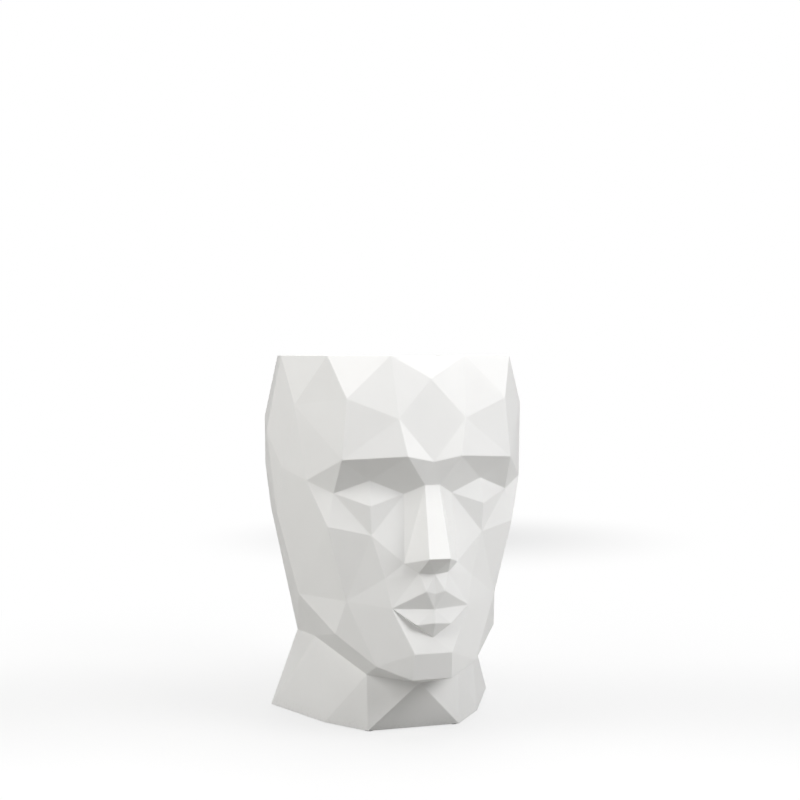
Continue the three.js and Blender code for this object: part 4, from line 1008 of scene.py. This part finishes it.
def screws():
    """All screws: four that hold the lamp, heads down, and the small ones inside it, heads up."""
    _, _, head, bottom, top = seat("base_screw_1")
    model = pan_screw("screw_model", head, BASE_HEAD_RISE, BASE_SHANK, top - bottom - BASE_HEAD_RISE,
                      BASE_PITCH)
    settle(model, turn=(pi, 0, 0))
    for i in range(4):
        x, y = seat(f"base_screw_{i + 1}")[:2]
        screw = placed_copy(model, f"base_screw_steel_{i + 1}", (x, y, bottom + BASE_HEAD_RISE))
        finish(screw, "pot", "steel", f"base_screw_{i + 1}")
    bpy.data.objects.remove(model)
    _, _, head, bottom, top = seat("board_screw_1")
    model = pan_screw("screw_model", head, SMALL_HEAD_RISE, SMALL_SHANK, top - bottom - SMALL_HEAD_RISE,
                      SMALL_PITCH)
    for kind, count in (("board_screw", 4), ("strap_screw", 2), ("sink_screw", 4)):
        for i in range(count):
            x, y, _, _, top = seat(f"{kind}_{i + 1}")
            screw = placed_copy(model, f"{kind}_steel_{i + 1}", (x, y, top - SMALL_HEAD_RISE))
            finish(screw, "pot", "steel", f"{kind}_{i + 1}")
    bpy.data.objects.remove(model)


def shell_inserts():
    """Brass inserts with two gripping bands."""
    for i in range(4):
        x, y, radius, bottom, top = seat(f"shell_insert_{i + 1}")
        rise = (top - bottom) / INSERT_BANDS
        neck = radius - INSERT_BAND_DEPTH
        profile = [(FIXING_HOLE, bottom, 0)]
        for k in range(INSERT_BANDS):
            here = radius if k % 2 == 0 else neck
            profile += [(here, bottom + rise * k, 0), (here, bottom + rise * (k + 1), 0)]
        profile += [(FIXING_HOLE, top, 0), (FIXING_HOLE, bottom, 0)]
        insert = turned(f"shell_insert_brass_{i + 1}", profile, x, y)
        finish(insert, "pot", "brass", f"shell_insert_{i + 1}")


def dome():
    """Frosted dome of even wall on a flat flange."""
    x, y, flange, bottom, top = seat("dome")
    spring = bottom + DOME_FLANGE
    rise = top - spring

    def arc(radius, height, step):
        angle = step / DOME_STEPS * pi / 2
        return (radius * cos(angle), spring + height * sin(angle), 0)

    inner = DOME_RADIUS - DOME_WALL
    outside = [arc(DOME_RADIUS, rise, step) for step in range(DOME_STEPS)]
    inside = [arc(inner, rise - DOME_WALL, step) for step in reversed(range(DOME_STEPS))]
    cover = turned("dome_frosted", [
        (inner, bottom, 0),
        (flange, bottom, ROUND_SOFT),
        (flange, spring, ROUND_SOFT),
        *outside,
        (0, top, 0),
        (0, top - DOME_WALL, 0),
        *inside,
        (inner, bottom, 0),
    ], x, y, LARGE_STEPS)
    finish(cover, "pot", "frosted", "dome")


def dome_seal():
    x, y, reach, bottom, top = seat("dome_seal")
    seal = flat_ring("dome_seal_rubber", x, y, reach - CUP_WALL, reach, bottom, top, SEAL_EDGE)
    finish(seal, "pot", "seal_grey", "dome_seal")


def dome_ring():
    """Screwed ring with finger grips round its skirt."""
    x, y, reach, bottom, top = seat("dome_ring")
    inner = reach - RING_WALL
    lip = top - RING_LIP
    ring = turned("dome_ring_moulding", [
        (inner, (bottom + lip) / 2, 0),
        (inner, bottom, ROUND_SOFT),
        (reach, bottom, ROUND_BROAD),
        (reach, top, RING_TOP_ROUND),
        (RING_REACH, top, ROUND_BROAD),
        (RING_REACH, lip, ROUND_SMALL),
        (inner, lip, 0),
        (inner, (bottom + lip) / 2, 0),
    ], x, y, LARGE_STEPS)
    grips = []
    for i in range(GRIP_COUNT):
        angle = (i + 0.5) / GRIP_COUNT * tau
        out = reach + GRIP_RADIUS - GRIP_DEPTH
        place = (x + out * cos(angle), y + out * sin(angle))
        grips.append(rod(GRIP_RADIUS, bottom - BEYOND, lip - GRIP_STOP, *place, GRIP_STEPS))
    cut(ring, *grips)
    finish(ring, "pot", "lamp_white", "dome_ring")


# Button, charge socket and its cap

def power_button():
    """Rubber button: dished face with a raised ring to feel for, rounded edge, collar inside."""
    x, y, collar, bottom, top = seat("power_button")
    collar_top = top - BUTTON_STEM_RISE
    collar_bottom = collar_top - BUTTON_COLLAR_THICK
    rim = BUTTON_RADIUS - BUTTON_RIM
    dish = bottom + BUTTON_DISH
    ring_start, ring_in, ring_out, ring_end = (rim * share for share in BUTTON_RING)
    button = turned("power_button_rubber", [
        (0, dish, 0),
        (ring_start, dish, ROUND_HAIR),
        (ring_in, bottom + BUTTON_DISH / 4, ROUND_HAIR),
        (ring_out, bottom + BUTTON_DISH / 4, ROUND_HAIR),
        (ring_end, dish, ROUND_HAIR),
        (rim - BUTTON_DISH, dish, ROUND_SOFT),
        (rim, bottom, ROUND_SMALL),
        (BUTTON_RADIUS, bottom, BUTTON_EDGE),
        (BUTTON_RADIUS, collar_bottom, 0),
        (collar, collar_bottom, ROUND_FINE),
        (collar, collar_top, ROUND_FINE),
        (SWITCH_STEM, collar_top, 0),
        (SWITCH_STEM, top, ROUND_FINE),
        (0, top, 0),
    ], x, y, MIDDLE_STEPS)
    finish(button, "button", "rubber_black", "power_button")


def charge_socket():
    """Oval steel can with a tongue inside."""
    low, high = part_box("charge_socket")
    x, y = (low.x + high.x) / 2, (low.y + high.y) / 2
    wide, deep = high.x - low.x, high.y - low.y
    roof = high.z - SOCKET_ROOF
    can = oval_bar(wide, deep, low.z, high.z, x, y)
    can.name = "charge_socket_can"
    cut(can, oval_bar(wide - 2 * SOCKET_SKIN, deep - 2 * SOCKET_SKIN, low.z - BEYOND, roof, x, y))
    tongue = block((x - TONGUE_WIDTH / 2, y - TONGUE_THICK / 2, low.z + SOCKET_SKIN),
                   (x + TONGUE_WIDTH / 2, y + TONGUE_THICK / 2, roof + SOCKET_SKIN))
    weld(can, tongue)
    finish(can, "pot", "steel", "charge_socket")


def charge_cap():
    """Rubber cover: plate with rounded corners, a plug for the socket and a hinge barrel on a neck."""
    low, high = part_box("charge_cap")
    pin_low, pin_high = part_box("cap_pin")
    hinge = (pin_low + pin_high) / 2
    half_barrel = pin_high.x - LUG_WIDTH - FIT
    plate_top = seat("light_pipe")[3] - FIT
    cap = block((low.x, low.y, plate_top - CAP_THICK), (high.x, low.y + CAP_LENGTH, plate_top))
    cap.name = "charge_cap_rubber"
    upright = set()
    for edge in cap.data.edges:
        start, end = (cap.data.vertices[i].co for i in edge.vertices)
        if abs(start.z - end.z) > BEYOND:
            upright.add(edge.key)
    bevel_edges(cap, upright, CAP_CORNER, segments=6)
    bevel_edges(cap, sharp_edges(cap), CAP_EDGE, segments=3)
    neck_start = low.y + CAP_LENGTH - CAP_CORNER
    weld(cap, block((-half_barrel, neck_start, plate_top - CAP_THICK + CAP_EDGE / 2),
                    (half_barrel, hinge.y, plate_top - CAP_EDGE / 2)))
    weld(cap, bar_along_x(HINGE_BARREL, -half_barrel, half_barrel, hinge.y, hinge.z))
    socket_low, socket_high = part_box("charge_socket")
    room = 2 * (SOCKET_ROOM - CAP_PLUG_GAP)
    plug_y = (socket_low.y + socket_high.y) / 2
    weld(cap, oval_bar(socket_high.x - socket_low.x + room, socket_high.y - socket_low.y + room,
                       plate_top - BEYOND, high.z, 0, plug_y))
    cut(cap, bar_along_x(HINGE_BORE, -pin_high.x, pin_high.x, hinge.y, hinge.z))
    finish(cap, "cap", "rubber_black", "charge_cap")


def cap_pin():
    """Steel pin with rounded ends, lying in the cap's hinge."""
    low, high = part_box("cap_pin")
    radius = (high.z - low.z) / 2
    pin = disc("cap_pin_steel", radius, low.x, high.x, radius / 2)
    settle(pin, (0, (low.y + high.y) / 2, (low.z + high.z) / 2), ALONG_X)
    finish(pin, "pot", "steel", "cap_pin")


def light_pipe():
    """Clear rod with a collar and a domed lower end."""
    x, y, collar, bottom, top = seat("light_pipe")
    plate_top = seat("base_gasket")[3]
    pipe = turned("light_pipe_clear", [
        (0, bottom, 0),
        (PIPE_RADIUS, bottom, PIPE_TIP_ROUND),
        (PIPE_RADIUS, plate_top, 0),
        (collar, plate_top, ROUND_FINE),
        (collar, plate_top + PIPE_COLLAR_THICK, ROUND_FINE),
        (PIPE_RADIUS, plate_top + PIPE_COLLAR_THICK, 0),
        (PIPE_RADIUS, top, ROUND_FINE),
        (0, top, 0),
    ], x, y)
    finish(pipe, "pot", "clear", "light_pipe")


# Inside of the lamp

def board(node_name, piece_name, slot, screw_kind=""):
    """Round circuit board with broken edges, and holes where it has screws."""
    x, y, radius, bottom, top = seat(node_name)
    plate = disc(piece_name, radius, bottom, top, BOARD_EDGE, x, y, LARGE_STEPS)
    if screw_kind:
        cut(plate, *screw_holes(screw_kind, SMALL_HOLE, bottom, top))
    finish(plate, "pot", slot, node_name)


def chip_leg(x, y, level, turn):
    """A thin leg that leaves a chip's side and bends down to the board: an outline filled and drawn out."""
    under_bend, bend, under_foot, foot = (LEG_LENGTH * share for share in LEG_BENDS)
    leg = drawn("leg", softened([
        (-LEG_THICK, LEG_RISE, 0),
        (bend, LEG_RISE, LEG_THICK / 2),
        (foot, LEG_THICK, LEG_THICK / 2),
        (LEG_LENGTH, LEG_THICK, 0),
        (LEG_LENGTH, 0, 0),
        (under_foot, 0, LEG_THICK / 2),
        (under_bend, LEG_RISE - LEG_THICK, LEG_THICK / 2),
        (-LEG_THICK, LEG_RISE - LEG_THICK, 0),
    ]))
    bpy.ops.transform.translate(value=(0, -LEG_WIDTH / 2, 0))
    bpy.ops.mesh.edge_face_add()
    bpy.ops.mesh.extrude_region_move(TRANSFORM_OT_translate={"value": (0, LEG_WIDTH, 0)})
    face_out()
    settle(leg, (x, y, level), (0, 0, turn))
    return leg


def group_on_board(name, slot, pieces):
    """Small pieces on the control board, as one piece."""
    group = joined(pieces)
    group.name = name
    finish(group, "pot", slot)


def board_parts():
    """What the control board carries on top: a chip with its legs, a coil and two round capacitors."""
    x, y, _, _, top = seat("control_board")
    half = CHIP_SIZE / 2
    chip_top = top + CHIP_RISE
    chip = block((x - half, y - half, top + CHIP_GAP), (x + half, y + half, chip_top))
    bevel_edges(chip, sharp_edges(chip), BOARD_EDGE)
    cut(chip, rod(CHIP_MARK, chip_top - BOARD_EDGE, chip_top + BEYOND, x - half / 2, y + half / 2))
    coil_x, half = x + COIL_PLACE, COIL_SIZE / 2
    coil_top = top + COIL_RISE
    coil = block((coil_x - half, y - half, top), (coil_x + half, y + half, coil_top))
    bevel_edges(coil, sharp_edges(coil), THIN_EDGE)
    inner, outer = (half * share for share in COIL_GROOVE)
    cut(coil, turned("groove", [
        (inner, coil_top - THIN_EDGE, 0),
        (outer, coil_top - THIN_EDGE, 0),
        (outer, coil_top + BEYOND, 0),
        (inner, coil_top + BEYOND, 0),
        (inner, coil_top - THIN_EDGE, 0),
    ], coil_x, y))
    group_on_board("control_board_chips", "switch_black", [chip, coil])
    legs = []
    for side, turn in ((1, 0), (-1, pi)):
        for i in range(CHIP_LEGS):
            middle = y + (i - (CHIP_LEGS - 1) / 2) * CHIP_SIZE / CHIP_LEGS
            legs.append(chip_leg(x + side * CHIP_SIZE / 2, middle, top, turn))
    group_on_board("control_board_legs", "steel", legs)
    cans = []
    bead_start, bead, bead_end = (top + CAN_RISE * share for share in CAN_BEAD)
    for place_x, place_y in CAN_PLACES:
        cans.append(turned("can", [
            (0, top, 0),
            (CAN_RADIUS, top, ROUND_FINE),
            (CAN_RADIUS, bead_start, ROUND_FINE),
            (CAN_RADIUS * CAN_WAIST, bead, ROUND_FINE),
            (CAN_RADIUS, bead_end, ROUND_FINE),
            (CAN_RADIUS, top + CAN_RISE, ROUND_SOFT),
            (0, top + CAN_RISE, 0),
        ], x + place_x, y + place_y))
    group_on_board("control_board_capacitors", "aluminium", cans)


def tact_switch():
    """Push switch under the board: square body with broken edges, round stem below."""
    low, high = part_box("tact_switch")
    x, y = (low.x + high.x) / 2, (low.y + high.y) / 2
    body = block((low.x, low.y, high.z - SWITCH_BODY), high)
    body.name = "tact_switch_body"
    bevel_edges(body, sharp_edges(body), THIN_EDGE)
    weld(body, rod(SWITCH_STEM, low.z, high.z - SWITCH_BODY / 2, x, y))
    finish(body, "pot", "switch_black", "tact_switch")


def battery_cells():
    """Round cells along Y: a raised contact in a recess at one end, every second cell turned about."""
    low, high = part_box("battery_cell_1")
    radius, half = (high.x - low.x) / 2, (high.y - low.y) / 2
    shoulder = half - CELL_CAP_RISE
    model = turned("cell_model", [
        (0, -half, 0),
        (radius, -half, CELL_EDGE),
        (radius, shoulder, CELL_EDGE),
        (CELL_RING, shoulder, ROUND_FINE),
        (CELL_RING - CELL_RING_SLOPE, shoulder - CELL_RECESS, 0),
        (CELL_CAP + CELL_CAP_SLOPE, shoulder - CELL_RECESS, 0),
        (CELL_CAP, half, ROUND_SMALL),
        (0, half, 0),
    ], steps=MIDDLE_STEPS)
    for i in range(4):
        low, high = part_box(f"battery_cell_{i + 1}")
        cell = placed_copy(model, f"battery_cell_wrapped_{i + 1}", (0, 0, 0))
        settle(cell, (low + high) / 2, (pi / 2 if i % 2 else -pi / 2, 0, 0))
        finish(cell, "pot", "cell_wrap", f"battery_cell_{i + 1}")
    bpy.data.objects.remove(model)


def broken_edged(node_name, piece_name, slot, width=THIN_EDGE):
    """A solid's own shape with all its sharp edges broken."""
    piece = merged_copy(node_name, piece_name)
    bevel_edges(piece, sharp_edges(piece), width, segments=2)
    finish(piece, "pot", slot, node_name)


def heat_sink():
    """Round plate with fins below, a notch for the leads and its screw holes."""
    x, y, radius, bottom, top = seat("heat_sink")
    plate = bottom + FIN_DROP
    sink = disc("heat_sink_plate", radius, plate, top, THIN_EDGE, x, y, LARGE_STEPS)
    fins = []
    for i in range(FIN_COUNT):
        middle = x + (i - (FIN_COUNT - 1) / 2) * FIN_PITCH
        fins.append(block((middle - FIN_THICK / 2, y - FIN_LENGTH / 2, bottom),
                          (middle + FIN_THICK / 2, y + FIN_LENGTH / 2, plate + BEYOND)))
    weld(sink, *fins)
    notch = seat("led_board")[2] + BEYOND
    tools = screw_holes("sink_screw", SMALL_HOLE, plate, top)
    tools.append(block((x - SINK_NOTCH / 2, y + notch, plate - BEYOND),
                       (x + SINK_NOTCH / 2, y + radius + BEYOND, top + BEYOND)))
    cut(sink, *tools)
    finish(sink, "pot", "aluminium", "heat_sink")


def light_sources():
    """Light sources: square white bodies with a domed lens."""
    low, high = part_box("led_1")
    half = (high.x - low.x) / 2
    model = block((-half, -half, 0), (half, half, LED_BODY))
    model.name = "led_model"
    bevel_edges(model, sharp_edges(model), LED_EDGE, segments=2)
    rise = high.z - low.z
    weld(model, turned("lens", [
        (0, LED_BODY / 2, 0),
        (LED_LENS, LED_BODY / 2, 0),
        (LED_LENS, LED_BODY + LENS_WALL, 0),
        (LED_LENS, rise, LENS_ROUND),
        (LED_LENS * LENS_CROWN, rise, 0),
        (0, rise, 0),
    ]))
    for i in range(8):
        low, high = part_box(f"led_{i + 1}")
        middle = (low + high) / 2
        led = placed_copy(model, f"led_chip_{i + 1}", (middle.x, middle.y, low.z))
        finish(led, "pot", "led_lens", f"led_{i + 1}")
    bpy.data.objects.remove(model)


def leads():
    """Insulated leads, rounded from their faceted solids."""
    for name, slot in (("battery_lead_pos", "lead_red"), ("battery_lead_neg", "lead_black"),
                       ("led_lead_pos", "lead_red"), ("led_lead_neg", "lead_black")):
        wire = merged_copy(name, f"{name}_wire")
        round_off = wire.modifiers.new("round_off", "SUBSURF")
        round_off.levels = 1
        round_off.render_levels = 1
        activate(wire)
        bpy.ops.object.modifier_apply(modifier=round_off.name)
        finish(wire, "pot", slot, name)


# Picture

def eye_directions():
    """Straight ahead and to the right, as the eye sees the floor."""
    return Vector((-sin(EYE_TURN), cos(EYE_TURN), 0)), Vector((cos(EYE_TURN), sin(EYE_TURN), 0))


def camera():
    level, right = eye_directions()
    data = bpy.data.cameras.new("eye")
    data.sensor_width = SENSOR
    data.lens = LENS_PIXELS / PICTURE * SENSOR
    eye = bpy.data.objects.new("eye", data)
    eye.location = right * EYE_SIDESTEP - level * EYE_DISTANCE + Vector((0, 0, EYE_HEIGHT))
    eye.rotation_euler = (pi / 2 - EYE_PITCH, 0, EYE_TURN)
    bpy.context.scene.collection.objects.link(eye)
    bpy.context.scene.camera = eye


def area_light(name, place, size, power, tint):
    data = bpy.data.lights.new(name, "AREA")
    data.shape = "DISK"
    data.size = size
    data.energy = power
    data.color = tint
    light = bpy.data.objects.new(name, data)
    light.location = place
    aim = Vector(LIGHT_TARGET) - Vector(place)
    light.rotation_euler = aim.to_track_quat("-Z", "Y").to_euler()
    bpy.context.scene.collection.objects.link(light)


def sky():
    """White to the eye, and a softer light that grows from the horizon to overhead for everything else."""
    world = bpy.data.worlds.new("studio")
    world.use_nodes = True
    bpy.context.scene.world = world
    tree = world.node_tree
    direction = node(tree, "SeparateXYZ", {"Vector": node(tree, "TexCoord").outputs["Generated"]})
    glow = ranged(tree, direction.outputs["Z"], HORIZON_LIGHT, ZENITH_LIGHT)
    seen = node(tree, "LightPath").outputs["Is Camera Ray"]
    strength = node(tree, "Mix", {"Factor": seen, "A": glow, "B": BACKGROUND_LIGHT})
    background = tree.nodes["Background"]
    background.inputs["Color"].default_value = (1, 1, 1, 1)
    tree.links.new(strength.outputs["Result"], background.inputs["Strength"])


def floor():
    """A pale floor: white to the eye apart from painted soft shadows and the pot's own cast shadow, less
    light thrown back.
    """
    bpy.ops.object.select_all(action="DESELECT")
    bpy.ops.mesh.primitive_plane_add(size=FLOOR_SIZE)
    ground = bpy.context.active_object
    ground.name = "floor"
    made, tree, shader = blank_finish("floor_white")
    tree.nodes.remove(shader)
    place = node(tree, "TexCoord").outputs["Object"]
    glow = node(tree, "Value").outputs["Value"]
    glow.default_value = BACKGROUND_LIGHT
    level, right = eye_directions()
    # Each entry darkens the floor's glow in a soft patch: a painted shadow
    for behind, aside, half_depth, half_width, darkness in PAINTED_FLOOR_SHADOWS:
        middle = right * aside + level * behind
        patch = node(tree, "Mapping", {"Vector": place, "Location": middle, "Rotation": (0, 0, EYE_TURN),
                                       "Scale": (half_width, half_depth, 1)}, vector_type="TEXTURE")
        away = node(tree, "VectorMath", {0: patch.outputs["Vector"]}, operation="LENGTH")
        dim = node(tree, "MapRange", {"Value": away.outputs["Value"], "To Min": darkness, "To Max": 0.0},
                   interpolation_type="SMOOTHSTEP")
        lessened = node(tree, "Math", {0: glow, 1: dim.outputs["Result"]}, operation="SUBTRACT")
        glow = lessened.outputs["Value"]
    away = node(tree, "VectorMath", {0: place}, operation="LENGTH")
    far = node(tree, "MapRange", {"Value": away.outputs["Value"], "From Min": FLOOR_NEAR,
                                  "From Max": FLOOR_FAR, "To Min": FLOOR_GLOW, "To Max": 1.0},
               interpolation_type="SMOOTHSTEP")
    near_floor = node(tree, "BsdfDiffuse", {"Color": (FLOOR_TONE, FLOOR_TONE, FLOOR_TONE, 1)})
    far_floor = node(tree, "Emission", {"Strength": glow})
    bounce = node(tree, "BsdfDiffuse", {"Color": FLOOR_BOUNCE})
    seen = node(tree, "LightPath").outputs["Is Camera Ray"]
    shown = node(tree, "MixShader", {0: far.outputs["Result"], 1: near_floor.outputs["BSDF"],
                                     2: far_floor.outputs["Emission"]})
    both = node(tree, "MixShader", {0: seen, 1: bounce.outputs["BSDF"], 2: shown.outputs["Shader"]})
    tree.links.new(both.outputs["Shader"], tree.nodes["Material Output"].inputs["Surface"])
    ground.data.materials.append(made)


camera()
bpy.context.scene.view_settings.view_transform = "Standard"
sky()
floor()
for light in LIGHTS:
    area_light(*light)

head_shell()
planting_liner()
drain_plug()
feet()
lamp_base()
base_gasket()
screws()
shell_inserts()
dome()
dome_seal()
dome_ring()
power_button()
charge_socket()
charge_cap()
cap_pin()
light_pipe()
board("control_board", "control_board_disc", "board_green", "board_screw")
board("led_board", "led_board_disc", "board_white")
board_parts()
tact_switch()
broken_edged("battery_tray", "battery_tray_moulding", "switch_black")
battery_cells()
broken_edged("battery_strap", "battery_strap_steel", "steel")
heat_sink()
light_sources()
leads()
